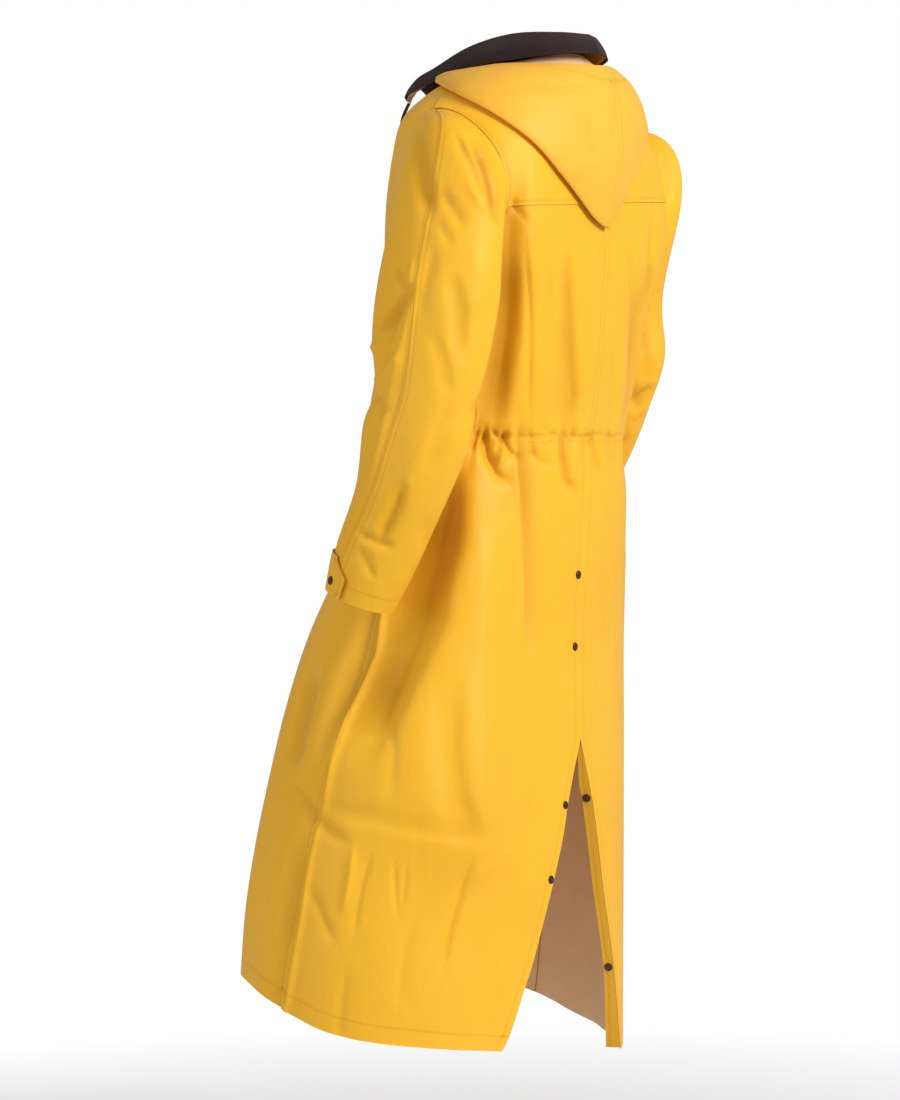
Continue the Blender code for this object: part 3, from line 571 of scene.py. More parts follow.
def gathers(angle, level):
    """Depth of the puckers beside the waist seam, and how much each pulls the seam up. Each is a narrow bell
    that dies away; the seam itself is a groove between two puffed edges."""
    beyond = np.abs(level - WAIST_LEVEL)
    total = PUFF_HEIGHT * bell(beyond - 0.20, 0.12) - GROOVE_DEPTH * bell(beyond, 0.05)
    pull = np.zeros(total.shape)
    for start, length, depth, slant, drop in zip(
        GATHER_ANGLES, GATHER_LENGTHS, GATHER_DEPTHS, GATHER_SLANTS, GATHER_DROPS
    ):
        reach = np.where(level > WAIST_LEVEL, length, length * 0.5)
        centre = start + slant * (level - WAIST_LEVEL)
        across = turned_from(angle, centre)
        fade = smooth_step(1.0 - beyond / reach)
        total = total - depth * fade * bell(across, 1.5 + 1.2 * beyond)
        pull = pull + drop * bell(across, 2.4) * bell(beyond, 0.3)
    return total, pull - SEAM_DROP * bell(beyond, 0.3)


def body_normal(angle, level):
    """Outward direction of the plain body: small steps down it and round it, crossed."""
    step = 0.02
    low = np.clip(level, step, HEM_LEVEL - step)
    round_it = body_plain(angle + 0.5, level) - body_plain(angle - 0.5, level)
    down_it = body_plain(angle, low + step) - body_plain(angle, low - step)
    return unit(np.cross(down_it, round_it))


def body_plain_out(angle, level, out):
    """Point of the body without folds, moved out."""
    return body_plain(angle, level) + body_normal(angle, level) * np.asarray(out)[..., None]


def body(angle, level, out=0.0):
    """Point of the folded and creased body, moved out along the plain surface's normal."""
    angle, level = np.broadcast_arrays(np.asarray(angle, float), np.asarray(level, float))
    normal = body_normal(angle, level)
    plain = body_plain(angle, level)
    puckers, pull = gathers(angle, level)
    folded = plain + normal * (fold_depth(angle, level) + puckers)[..., None]
    folded[..., 2] += pull
    creases = crease_depth(folded, normal, BODY_CREASES)
    return folded + normal * (creases + out)[..., None]


def armhole_angle(level, reach):
    """Half opening of the armhole at a level: reach times the root of a half sine from shoulder to armpit."""
    part = np.clip((level - ARMHOLE_TOP) / (ARMHOLE_FOOT - ARMHOLE_TOP), 0.0, 1.0)
    return reach * np.sqrt(np.sin(math.pi * part))


def side_edge(level, reach):
    """Angle of a left body panel's outer edge: shoulder seam, armhole, then side seam."""
    return armhole_angle(level, reach) + np.interp(level, EDGE_LEVELS, SIDE_SEAM)


def armhole_rows(first, last, count):
    """Levels between two, bunched towards the armhole's top and foot like the cosine of an even turn."""
    span = ARMHOLE_FOOT - ARMHOLE_TOP
    turns = np.arccos(1.0 - 2.0 * (np.array([first, last]) - ARMHOLE_TOP) / span)
    return ARMHOLE_TOP + span * (1.0 - np.cos(np.linspace(*turns, count))) / 2.0


def bodice_rows(first, count):
    """Levels from first to the waist."""
    if first < ARMHOLE_TOP:
        down = np.linspace(first, ARMHOLE_TOP, count // 4, endpoint=False)
        first = ARMHOLE_TOP
    else:
        down = np.array([])
    beside_arm = armhole_rows(first, ARMHOLE_FOOT, count // 2)[:-1]
    below = np.linspace(ARMHOLE_FOOT, WAIST_LEVEL, count // 2)
    return np.concatenate([down, beside_arm, below])


def skirt_rows(count):
    """Levels from the waist to the hem, closer together near the waist."""
    return WAIST_LEVEL + (HEM_LEVEL - WAIST_LEVEL) * np.linspace(0.0, 1.0, count) ** 1.15


def coated_cloth(name, lit, deep, gloss=0.47):
    """Yellow coating over a fine plain weave: cloudy colour, painted shade that deepens it in the troughs and
    darkens the groove of each row of stitches, paler at worn edges, a row of stitches beside each seam, and a
    soft shine that varies."""
    made, tree, shader = new_material(
        name, Specular_IOR_Level=0.24, Sheen_Weight=0.05, Sheen_Roughness=0.4,
        Sheen_Tint=(1.0, 0.86, 0.55, 1.0),
    )
    place = object_place(tree)
    cut_x, cut_y = cut_place(tree)
    seam, edge, run, painted_shade_depth = (points_number(tree, key) for key in ("seam", "edge", "run", "painted_shade_depth"))

    clouds = noise(tree, place, 0.16, 3.0)
    colour = blend(tree, remap(tree, clouds, 0.35, 0.70, 0.0, 0.22), (*lit, 1.0), (*deep, 1.0))
    # Painted shade: the colour turns deep orange as the cloth sinks below its plain surface in a crease.
    colour = blend(tree, remap(tree, painted_shade_depth, 0.001, 0.018, 0.0, 0.9), colour, (*YELLOW_PAINTED_SHADE, 1.0))
    rubbed = maths(tree, "MULTIPLY", remap(tree, edge, 0.0, 0.003, 0.24, 0.0), noise(tree, place, 0.02, 2.0))
    colour = blend(tree, rubbed, colour, (*YELLOW_WORN, 1.0))

    thread = remap(tree, wave(tree, run, STITCH), -0.35, 0.05, 0.0, 1.0)
    offset = maths(tree, "ABSOLUTE", maths(tree, "SUBTRACT", seam, STITCH_INSET))
    line = remap(tree, offset, 0.0003, 0.0009, 1.0, 0.0)
    stitches = maths(tree, "MULTIPLY", thread, line)
    ditch = remap(tree, offset, 0.0004, 0.0024, 1.0, 0.0)
    # Painted shade: the groove along each row of stitches is darkened towards the deep yellow.
    colour = blend(tree, maths(tree, "MULTIPLY", ditch, 0.34), colour, (*deep, 1.0))
    colour = blend(tree, maths(tree, "MULTIPLY", stitches, 0.35), colour, (*THREAD, 1.0))
    tree.links.new(colour, shader.inputs["Base Color"])

    weave = maths(tree, "MULTIPLY", wave(tree, cut_x, WEAVE), wave(tree, cut_y, WEAVE))
    height = bump(tree, weave, 0.00006, 0.5)
    height = bump(tree, noise(tree, place, 0.0016, 2.0), 0.00010, 0.4, height)
    height = bump(tree, noise(tree, place, 0.035, 3.0, 0.45), 0.0022, 0.35, height)
    long_and_thin = {0: place, 1: (1.0, 1.0, 0.16)}
    drawn = node(tree, "ShaderNodeVectorMath", {"operation": "MULTIPLY"}, long_and_thin).outputs[0]
    height = bump(tree, noise(tree, drawn, 0.018, 2.0, 0.4), 0.0030, 0.30, height)
    height = bump(tree, remap(tree, ditch, 0.0, 1.0, 1.0, 0.0), 0.00030, 0.45, height)
    tree.links.new(bump(tree, stitches, 0.0003, 0.6, height), shader.inputs["Normal"])

    patches = noise(tree, place, 0.05, 3.0)
    tree.links.new(remap(tree, patches, 0.3, 0.7, gloss - 0.05, gloss + 0.09), shader.inputs["Roughness"])
    return made


def woven_reverse():
    """The uncoated inside: a pale peach weave, matt."""
    made, tree, shader = new_material("woven_reverse", Sheen_Weight=0.25)
    place = object_place(tree)
    cut_x, cut_y = cut_place(tree)
    clouds = noise(tree, place, 0.05, 4.0)
    colour = blend(tree, remap(tree, clouds, 0.3, 0.7, 0.0, 0.35), (*PEACH, 1.0), (*PEACH_DEEP, 1.0))
    sewn = remap(tree, points_number(tree, "edge"), 0.0004, 0.0009, 1.0, 0.0)
    colour = blend(tree, sewn, colour, (*HEM_BROWN, 1.0))
    tree.links.new(colour, shader.inputs["Base Color"])
    weave = maths(tree, "MULTIPLY", wave(tree, cut_x, REVERSE_WEAVE), wave(tree, cut_y, REVERSE_WEAVE))
    height = bump(tree, weave, 0.00015, 0.6)
    tree.links.new(bump(tree, clouds, 0.001, 0.3, height), shader.inputs["Normal"])
    tree.links.new(remap(tree, clouds, 0.3, 0.7, 0.72, 0.86), shader.inputs["Roughness"])
    return made


COATED = coated_cloth("coated_cloth", YELLOW_LIT, YELLOW_DEEP)
REVERSE = woven_reverse()
UNSEWN = 0.05


def run_lengths(grid):
    """Distance along each row from its first column, and down each column from its first row, in metres."""
    across = np.linalg.norm(np.diff(grid, axis=1), axis=-1)
    down = np.linalg.norm(np.diff(grid, axis=0), axis=-1)
    across = np.concatenate([np.zeros((grid.shape[0], 1)), np.cumsum(across, axis=1)], axis=1)
    down = np.concatenate([np.zeros((1, grid.shape[1])), np.cumsum(down, axis=0)], axis=0)
    return across, down


def seam_numbers(grid, seams):
    """Distance to the edge that the nearest row of stitches follows, distance to the nearest sewn edge, the
    run along it, and every point's place in the cut. Seams are any of a, b, top and foot, each with how far
    its stitches are moved in."""
    across, down = run_lengths(grid)
    gaps = {
        "a": (across, down),
        "b": (across[:, -1:] - across, down),
        "top": (down, across),
        "foot": (down[-1:] - down, across),
    }
    seam = np.full(across.shape, UNSEWN)
    edge = seam.copy()
    run = np.zeros(across.shape)
    for name, inset in seams.items():
        gap, along = gaps[name]
        edge = np.minimum(edge, gap)
        gap = gap - inset
        nearer = np.abs(gap - STITCH_INSET) < np.abs(seam - STITCH_INSET)
        seam = np.where(nearer, gap, seam)
        run = np.where(nearer, along, run)
    return seam, edge, run, np.stack([across, down], axis=-1)


def shell(
    part, grid, seams, plain=None, flip=False, wall=CLOTH, coat=COATED
):
    """A thin shell of cloth that stands for one CAD node, with its outer face on a grid of points."""
    seam, edge, run, cut = seam_numbers(grid, seams)
    # How far the cloth sinks below its plain surface, which the cloth's colour turns into painted shade in
    # the creases.
    if plain is None:
        painted_shade_depth = np.zeros(seam.shape)
    else:
        painted_shade_depth = np.linalg.norm(grid - plain, axis=-1) * (plain_side(grid, plain, flip) < 0)
    if flip:
        grid, cut = grid[:, ::-1], cut[:, ::-1]
        seam, edge, run, painted_shade_depth = (values[:, ::-1] for values in (seam, edge, run, painted_shade_depth))
    numbers = {"seam": seam, "edge": edge, "run": run, "painted_shade_depth": painted_shade_depth}
    mesh = grid_mesh(part + "_cloth", grid, cut, numbers)
    mesh.materials.append(coat)
    mesh.materials.append(REVERSE)
    made = new_piece(part + "_cloth", mesh, part)
    wall_modifier = made.modifiers.new("wall", "SOLIDIFY")
    wall_modifier.thickness = wall
    wall_modifier.offset = -1.0
    wall_modifier.material_offset = 1
    wall_modifier.material_offset_rim = 1
    return made


def plain_side(grid, plain, flip):
    """Sign of the way from the plain surface to the creased one, along the plain one's outward normal."""
    normal = np.cross(np.gradient(plain, axis=0), np.gradient(plain, axis=1))
    if flip:
        normal = -normal
    return ((grid - plain) * normal).sum(axis=-1)


def spread(edge_a, edge_b, columns):
    """Angles from one edge to the other, one row per level."""
    part = np.linspace(0.0, 1.0, columns)[None, :]
    return edge_a[:, None] * (1.0 - part) + edge_b[:, None] * part


LIP = 0.0011
LIP_REACH = 0.009


def lipped(grid, angle, level, lips):
    """The grid with its side edges raised or sunk by a bell, as a lapped seam does."""
    across, _ = run_lengths(grid)
    lip_a, lip_b = (np.broadcast_to(lip, len(grid))[:, None] for lip in lips)
    out = lip_a * bell(across, LIP_REACH) + lip_b * bell(across[:, -1:] - across, LIP_REACH)
    away = unit(body(angle, level, 0.01) - body(angle, level, 0.0))
    return grid + away * out[..., None]


def body_piece(part, edges, rows, columns, seams, lips=(0.0, 0.0), out=0.0):
    """A piece of the body between two edges, each one angle per level."""
    angle = spread(*edges, columns)
    level = np.broadcast_to(rows[:, None], angle.shape)
    grid = lipped(body(angle, level, out), angle, level, lips)
    plain = body_plain(angle, level)
    shell(part, grid, seams, plain, flip=True)


def mirrored(angle):
    """The same angle on the other side of the coat."""
    return 180.0 - angle


rows = bodice_rows(BACK_TOP_LEVEL, 132)
side = side_edge(rows, ARMHOLE_BACK)
centre = np.full(len(rows), 90.0)
stitched = {"a": 0.0, "b": 0.0, "foot": 0.0}
body_piece("bodice_back_left", (centre, side), rows, 170, stitched, (LIP * 0.1, LIP))
body_piece("bodice_back_right", (mirrored(side), centre), rows, 110, stitched, (LIP, 0.0))
rows = skirt_rows(215)
side = side_edge(rows, ARMHOLE_BACK)
vent_left = np.interp(rows, EDGE_LEVELS, VENT_LEFT)
vent_right = np.interp(rows, EDGE_LEVELS, VENT_RIGHT)
open_lip = LIP * smooth_step((rows - 10.7) / 0.6)
stitched = {"a": 0.006, "b": 0.0, "top": 0.0, "foot": 0.016}
body_piece("skirt_back_left", (vent_left, side), rows, 185, stitched, (open_lip, LIP))
stitched = {"a": 0.0, "b": 0.006, "top": 0.0, "foot": 0.016}
edges = (mirrored(side), vent_right)
body_piece("skirt_back_right", edges, rows, 106, stitched, (LIP, 0.0))

# --- The fronts ---
# Two bodice and two skirt pieces of the same cloth. They close down the middle under a storm fly. The back
# panels lap over them at the sides.
SHOULDER_TUCK = 5.0
UNDER_LIP = -0.0004
rows = bodice_rows(0.06, 100)
side = -armhole_angle(rows, ARMHOLE_FRONT) + np.interp(rows, EDGE_LEVELS, SIDE_SEAM)
side = side + SHOULDER_TUCK * smooth_step((ARMHOLE_TOP - rows) / 0.3)
middle = np.full(len(rows), -90.0)
edges = (middle, mirrored(side) - 360.0)
body_piece("bodice_front_left", (side, middle), rows, 84, {"a": 0.0, "foot": 0.0})
body_piece("bodice_front_right", edges, rows, 84, {"b": 0.0, "foot": 0.0})
rows = skirt_rows(135)
side = np.interp(rows, EDGE_LEVELS, SIDE_SEAM)
middle = np.full(len(rows), -90.0)
stitched = {"a": 0.0, "top": 0.0, "foot": 0.016}
body_piece("skirt_front_left", (side, middle), rows, 100, stitched, (UNDER_LIP, 0.0))
edges = (middle, mirrored(side) - 360.0)
stitched = {"b": 0.0, "top": 0.0, "foot": 0.016}
body_piece("skirt_front_right", edges, rows, 90, stitched, (0.0, UNDER_LIP))
FLY_HALF_WIDTH = 0.033
LAP = 0.0026
rows = np.linspace(0.3, HEM_LEVEL, 180)
reach = np.degrees(FLY_HALF_WIDTH / smooth_between(BODY["left"], rows))
body_piece("front_fly", (reach - 90.0, -reach - 90.0), rows, 22, {"a": 0.0, "b": 0.0}, out=LAP)

# --- The yoke ---
# One piece across both shoulders, laid over the tops of the back halves. Its free lower edge is turned under
# and stitched, and rises a little towards the right.
YOKE_EDGE = 4.0
YOKE_TILT = 0.26
YOKE_DROP = 0.0010
over_shoulder = np.linspace(0.06, ARMHOLE_TOP, 24, endpoint=False)
rows = np.concatenate([over_shoulder, armhole_rows(ARMHOLE_TOP, YOKE_EDGE, 48)])
side = side_edge(rows, ARMHOLE_BACK)
angle = spread(side, mirrored(side), 170)
sloped = smooth_step((rows - 3.0) / (YOKE_EDGE - 3.0))[:, None]
level = rows[:, None] + YOKE_TILT * np.cos(np.radians(angle)) * sloped
inside = armhole_angle(level, ARMHOLE_BACK)
angle = np.clip(angle, inside, 180.0 - inside)
grid = body(angle, level, LAP - YOKE_DROP * smooth_step((level - 3.1) / 0.5))
shell("back_yoke", grid, {"a": 0.0, "b": 0.0, "foot": 0.0})

# --- The sleeves ---
# Each is a back and a front piece, seamed along the outside and the inside of the arm, and set into the
# armhole under the body's edge. They hang bent at the elbow, so the cloth breaks into facets in front of it.
SLEEVE_TUCK = 4.0
CUFF_RING = 8.0
METRES_PER_TURN = 0.38
METRES_PER_RING = 0.07
SET_IN = 0.35

# Rings of the sleeves below the armhole: middle; half widths outwards and backwards; how those two directions
# tilt and lean; and how far the outer seam is turned, all round and, as a lag, on the inside.
SLEEVE_COLUMNS = ("x", "y", "z", "out", "back", "tilt", "lean", "seam", "lag")
LEFT_SLEEVE = (
    (0.245, 0.036, -0.200, 0.105, 0.074, 75.0, 0.0, 3.0, 35.0),
    (0.262, 0.030, -0.290, 0.066, 0.080, 30.0, 0.0, 5.0, 22.0),
    (0.273, 0.025, -0.360, 0.056, 0.078, 14.0, 4.0, 4.0, 12.0),
    (0.281, 0.023, -0.422, 0.052, 0.067, 5.0, 8.0, 0.0, 6.0),
    (0.288, 0.012, -0.472, 0.050, 0.071, 0.0, 14.0, -4.0, 2.0),
    (0.297, -0.006, -0.546, 0.047, 0.058, 0.0, 18.0, -10.0, 0.0),
    (0.303, -0.036, -0.620, 0.044, 0.053, 0.0, 21.0, -19.0, 0.0),
    (0.306, -0.056, -0.673, 0.040, 0.044, 0.0, 21.0, -22.0, 0.0),
)
RIGHT_SLEEVE = (
    (0.250, 0.036, -0.187, 0.108, 0.080, 75.0, -25.0, 3.0, 32.0),
    (0.262, -0.008, -0.290, 0.066, 0.078, 30.0, 0.0, 5.0, 8.0),
    (0.268, -0.006, -0.360, 0.056, 0.077, 14.0, 5.0, 4.0, 4.0),
    (0.272, -0.020, -0.420, 0.052, 0.066, 5.0, 12.0, 0.0, 0.0),
    (0.280, -0.048, -0.470, 0.050, 0.066, 0.0, 26.0, -4.0, 0.0),
    (0.294, -0.086, -0.538, 0.047, 0.058, 0.0, 34.0, -8.0, 0.0),
    (0.302, -0.130, -0.602, 0.044, 0.052, 0.0, 34.0, -10.0, 0.0),
    (0.306, -0.160, -0.645, 0.040, 0.044, 0.0, 34.0, -10.0, 0.0),
)

# Creases that show on the sleeves: line, reach to the left and right, depth and step, as on the body.
LEFT_SLEEVE_CREASES = (
    (((474, 128), (486, 156), (494, 184), (500, 214), (502, 236)), 11, 7, 13.0, 0.0),
    (((452, 128), (464, 152), (477, 174), (490, 200)), 5, 6, 6.0, 0.0),
    (((470, 134), (478, 150), (487, 166)), 5, 4, 3.0, 0.0),
    (((462, 176), (476, 196), (494, 220)), 5, 6, -3.5, 0.0),
    (((438, 184), (450, 204), (468, 230)), 8, 7, 5.0, 0.0),
    (((436, 214), (444, 231), (455, 248)), 6, 5, 3.0, 0.0),
    (((414, 112), (421, 160), (432, 222)), 13, 10, 7.0, 0.0),
    (
        ((424, 262), (414, 290), (404, 335), (394, 380), (386, 420), (380, 446), (367, 490), (355, 525)),
        7, 8, -5.5, 0.0,
    ),
    (((400, 296), (388, 345), (378, 392)), 8, 7, 4.4, 0.0),
    (((392, 262), (402, 280), (412, 296)), 5, 4, 4.4, 0.0),
    (((414, 256), (411, 274), (405, 292)), 4, 4, -3.4, 0.0),
    (((416, 282), (396, 311), (372, 338)), 8, 8, 7.5, 0.0),
    (((366, 347), (382, 347), (402, 343)), 8, 7, -6.5, 0.0),
    (((370, 388), (383, 374), (401, 350)), 8, 7, -5.5, 0.0),
    (((370, 391), (379, 401), (389, 418)), 7, 6, 5.0, 0.0),
    (((407, 480), (396, 508), (376, 548)), 9, 7, 8.0, 0.0),
    (((356, 530), (374, 541), (398, 548)), 6, 5, 5.0, 0.0),
    (((358, 545), (366, 560), (376, 582)), 6, 5, 3.4, 0.0),
    (((436, 240), (426, 280), (416, 326)), 8, 9, 3.0, 0.0),
    (((450, 262), (460, 312), (460, 366)), 14, 10, 4.0, 0.0),
    (((432, 326), (443, 362), (450, 404)), 11, 9, 2.6, 0.0),
    (((426, 172), (430, 220), (422, 262)), 9, 9, 2.4, 0.0),
    (((452, 395), (440, 440), (425, 480)), 14, 14, 2.4, 0.0),
    (((430, 430), (412, 470), (398, 520)), 12, 12, -2.0, 0.0),
    (((474, 236), (478, 280), (470, 330)), 12, 12, -3.0, 0.0),
)
RIGHT_SLEEVE_CREASES = (
    (((626, 408), (640, 397), (656, 384)), 7, 5, 6.0, 0.0),
    (((630, 420), (642, 412), (652, 404)), 5, 5, -3.0, 0.0),
    (((652, 200), (654, 255), (650, 312)), 8, 8, 2.4, 0.0),
    (((640, 330), (646, 360), (648, 390)), 9, 9, 2.4, 0.0),
    (((660, 150), (668, 175), (672, 205)), 7, 7, 2.6, 0.0),
)

# Folds on the sides of the sleeves that don't show: turn and ring of both ends, half width in turns, depth.
SLEEVE_FOLDS = (
    (0.62, 2.6, 0.80, 3.6, 0.030, -0.0040),
    (0.58, 3.6, 0.84, 4.3, 0.030, -0.0055),
    (0.60, 4.9, 0.82, 4.2, 0.028, -0.0050),
    (0.64, 5.6, 0.78, 4.9, 0.026, -0.0030),
    (0.40, 3.4, 0.22, 4.4, 0.034, -0.0035),
    (0.44, 5.2, 0.28, 4.5, 0.030, -0.0030),
    (0.56, 1.3, 0.66, 2.7, 0.034, -0.0035),
    (0.38, 1.2, 0.30, 2.9, 0.034, -0.0035),
    (0.66, 6.4, 0.80, 6.0, 0.028, -0.0025),
    (0.36, 6.6, 0.20, 6.1, 0.030, -0.0025),
)


def armhole_loop(turn, tuck):
    """Angle and level of the armhole's edge: turn 0 is the shoulder point, 0.5 the armpit, and the back comes
    first. Tuck grows the oval, in degrees."""
    part = 1.0 - np.abs((turn % 1.0) * 2.0 - 1.0)
    level = ARMHOLE_TOP + (ARMHOLE_FOOT - ARMHOLE_TOP) * (1.0 - np.cos(math.pi * part)) / 2.0
    back = armhole_angle(level, ARMHOLE_BACK) + tuck * np.sin(math.pi * part)
    front = armhole_angle(level, ARMHOLE_FRONT) + tuck * np.sin(math.pi * part)
    level = level - tuck * 0.032 * np.cos(math.pi * part)
    return np.where((turn % 1.0) <= 0.5, back, -front), level


def armhole_points(turn, tuck, yoke_out, side):
    """Points of the armhole's edge on the finished body, raised to the yoke's underside beside the yoke."""
    angle, level = armhole_loop(turn, tuck)
    beside_yoke = smooth_step((YOKE_EDGE + 0.3 - level) / 0.5) * smooth_step(angle / 6.0)
    if side < 0:
        angle = 180.0 - angle
    return body(angle, level, yoke_out * beside_yoke + (yoke_out - 0.0014))


def sleeve_rings(turn, rows, side):
    """The armhole's edge on the finished body, then the rings down the arm, each a leaning ellipse."""
    rings = [armhole_points(turn, 0.0, 0.0014, side) * np.array([side, 1.0, 1.0])]
    for k in range(len(rows["x"])):
        lag = rows["lag"][k] * np.sin(math.pi * turn) ** 2
        round_it = 2.0 * math.pi * turn + np.radians(rows["seam"][k] + lag)
        tilt = math.radians(rows["tilt"][k])
        lean = math.radians(rows["lean"][k])
        outward = np.array([math.cos(tilt), 0.0, math.sin(tilt)])
        backward = np.array([0.0, math.cos(lean), -math.sin(lean)])
        middle = np.array([rows["x"][k], rows["y"][k], rows["z"][k]])
        rings.append(
            middle
            + np.cos(round_it)[..., None] * outward * rows["out"][k]
            + np.sin(round_it)[..., None] * backward * rows["back"][k]
        )
    return np.stack(rings)


def sleeve_plain(turns, ring_numbers, side):
    """Grid of a sleeve without creases: each column runs smoothly through its points on the rings."""
    rows = table(SLEEVE_COLUMNS, LEFT_SLEEVE if side > 0 else RIGHT_SLEEVE)
    rings = sleeve_rings(turns, rows, side)
    return smooth_between(rings, ring_numbers) * np.array([side, 1.0, 1.0])


def sleeve_normals(turns, ring_numbers, side):
    """Outward normals of the plain sleeve, from small steps round it and down it."""
    turn_step, ring_step = 0.004, 0.02
    before = sleeve_plain(turns - turn_step, ring_numbers, side)
    after = sleeve_plain(turns + turn_step, ring_numbers, side)
    above = sleeve_plain(turns, np.maximum(ring_numbers - ring_step, 0.0), side)
    below = sleeve_plain(turns, np.minimum(ring_numbers + ring_step, CUFF_RING), side)
    return unit(np.cross(below - above, after - before)) * side


def sleeve_folds(turns, ring_numbers):
    """Sum of the unseen folds: each a bell across its line, faded at both ends."""
    turn = turns[None, :]
    ring = ring_numbers[:, None]
    total = np.zeros((len(ring_numbers), len(turns)))
    for turn_a, ring_a, turn_b, ring_b, width, deep in SLEEVE_FOLDS:
        way = np.array([(turn_b - turn_a) * METRES_PER_TURN, (ring_b - ring_a) * METRES_PER_RING])
        length = np.linalg.norm(way)
        way = way / length
        across = (turn - turn_a) * METRES_PER_TURN
        down = (ring - ring_a) * METRES_PER_RING
        along = (across * way[0] + down * way[1]) / length
        off = across * way[1] - down * way[0]
        total += deep * faded_ends(along) * bell(off, width * METRES_PER_TURN)
    return total


def sleeve(turns, ring_numbers, side, out=0.0):
    """Grid of a finished sleeve, its plain points moved along their normals by creases and folds, and the
    plain one."""
    plain = sleeve_plain(turns, ring_numbers, side)
    normals = sleeve_normals(turns, ring_numbers, side)
    creases = LEFT_SLEEVE_CREASES if side > 0 else RIGHT_SLEEVE_CREASES
    away = crease_depth(plain, normals, creases) + sleeve_folds(turns, ring_numbers)
    away = away * smooth_step(ring_numbers / SET_IN)[:, None]
    return plain + normals * (away + out)[..., None], plain


def sleeve_piece(side, word, half, first, last, columns, count):
    """Back or front half of a sleeve, from under the armhole's edge to the cuff."""
    turns = np.linspace(first, last, columns)
    upper_arm = np.linspace(0.0, 2.0, count // 3, endpoint=False)
    ring_numbers = np.concatenate([upper_arm, np.linspace(2.0, CUFF_RING, count)])
    grid, plain = sleeve(turns, ring_numbers, side)
    across, _ = run_lengths(grid)
    if half == "back":
        lip = LIP * bell(across, LIP_REACH) * smooth_step(ring_numbers / SET_IN)[:, None]
        grid = grid + sleeve_normals(turns, ring_numbers, side) * lip[..., None]
    tucked = armhole_points(turns, SLEEVE_TUCK, 0.0, side)[None]
    grid = np.concatenate([tucked, grid])
    plain = np.concatenate([tucked, plain])
    seams = {"a": 0.0, "b": 0.0, "foot": 0.014}
    shell(f"sleeve_{word}_{half}", grid, seams, plain, flip=side < 0)


for side, word, columns, count in ((1.0, "left", 92, 150), (-1.0, "right", 52, 100)):
    sleeve_piece(side, word, "back", 0.0, 0.5, columns, count)
    sleeve_piece(side, word, "front", 0.5, 1.0, columns, count)

# --- The cuff tabs ---
# A strap of doubled cloth, stitched round its edge, runs over the front of each cuff and closes with a snap.
TAB_OUT = 0.0034
TAB_FLARE = 0.0030
TAB_WALL = 0.0016
TAB_TOP_RING = 7.13
TAB_SLANT = 0.23
TAB_SNAP = (np.array([0.96]), np.array([7.62]))
tab_turns = np.linspace(0.70, 1.045, 60)
tab_rings = np.linspace(TAB_TOP_RING, 7.97, 26)


def cut_slanted(grid, reach, columns):
    """Each row of a grid read again up to its own share of its length, by straight lines between points."""
    at = np.linspace(0.0, 1.0, columns)[None, :] * reach[:, None] * (grid.shape[1] - 1)
    low = np.minimum(at.astype(int), grid.shape[1] - 2)
    row = np.arange(len(grid))[:, None]
    part = (at - low)[..., None]
    return grid[row, low] * (1.0 - part) + grid[row, low + 1] * part


free_end = 1.0 - TAB_SLANT * (1.0 - smooth_step((tab_rings - TAB_TOP_RING) / 0.35))
for side, word in ((1.0, "left"), (-1.0, "right")):
    stands_off = TAB_OUT + TAB_FLARE * smooth_step((tab_turns - 0.98) / 0.05)[None, :]
    grid, _ = sleeve(tab_turns, tab_rings, side, stands_off)
    grid = cut_slanted(grid, free_end, 44)
    stitched = {"a": 0.0, "b": 0.0, "top": 0.0, "foot": 0.0}
    shell(f"cuff_tab_{word}", grid, stitched, flip=side < 0, wall=TAB_WALL)

# --- The vent's underlap ---
# A narrow strip turned in from the right edge of the vent, which the left edge snaps on to.
UNDERLAP_WAY = np.array([0.35, -0.937, 0.0])
UNDERLAP_GAP = 0.0006


def underlap(level, part):
    """Point of the strip: the vent's right edge plus part of its width along one direction. It is 5 mm wide
    at the top, 13 mm below that and 19 mm at the hem."""
    edge = body(np.interp(level, EDGE_LEVELS, VENT_RIGHT), level)
    at_top = np.clip((level - VENT_TOP_LEVEL) / 0.5, 0.0, 1.0)
    at_hem = np.clip(level - 15.0, 0.0, 1.0)
    width = 0.005 + 0.008 * at_top + 0.006 * at_hem
    return edge + UNDERLAP_WAY * (UNDERLAP_GAP + part * width)[..., None]


down_vent = np.linspace(VENT_TOP_LEVEL, HEM_LEVEL - 0.03, 120)
levels, parts = np.meshgrid(down_vent, np.linspace(0.0, 1.0, 12), indexing="ij")
shell("vent_underlap", underlap(levels, parts), {"b": 0.0}, flip=True)

# --- The hood ---
# Two halves joined by a seam down the middle. The hood lies flat down the back to its point, turns up there
# and opens upwards behind the collar, where its pale inside shows over a stitched hem.
HOOD_LIT = (0.890, 0.455, 0.045)

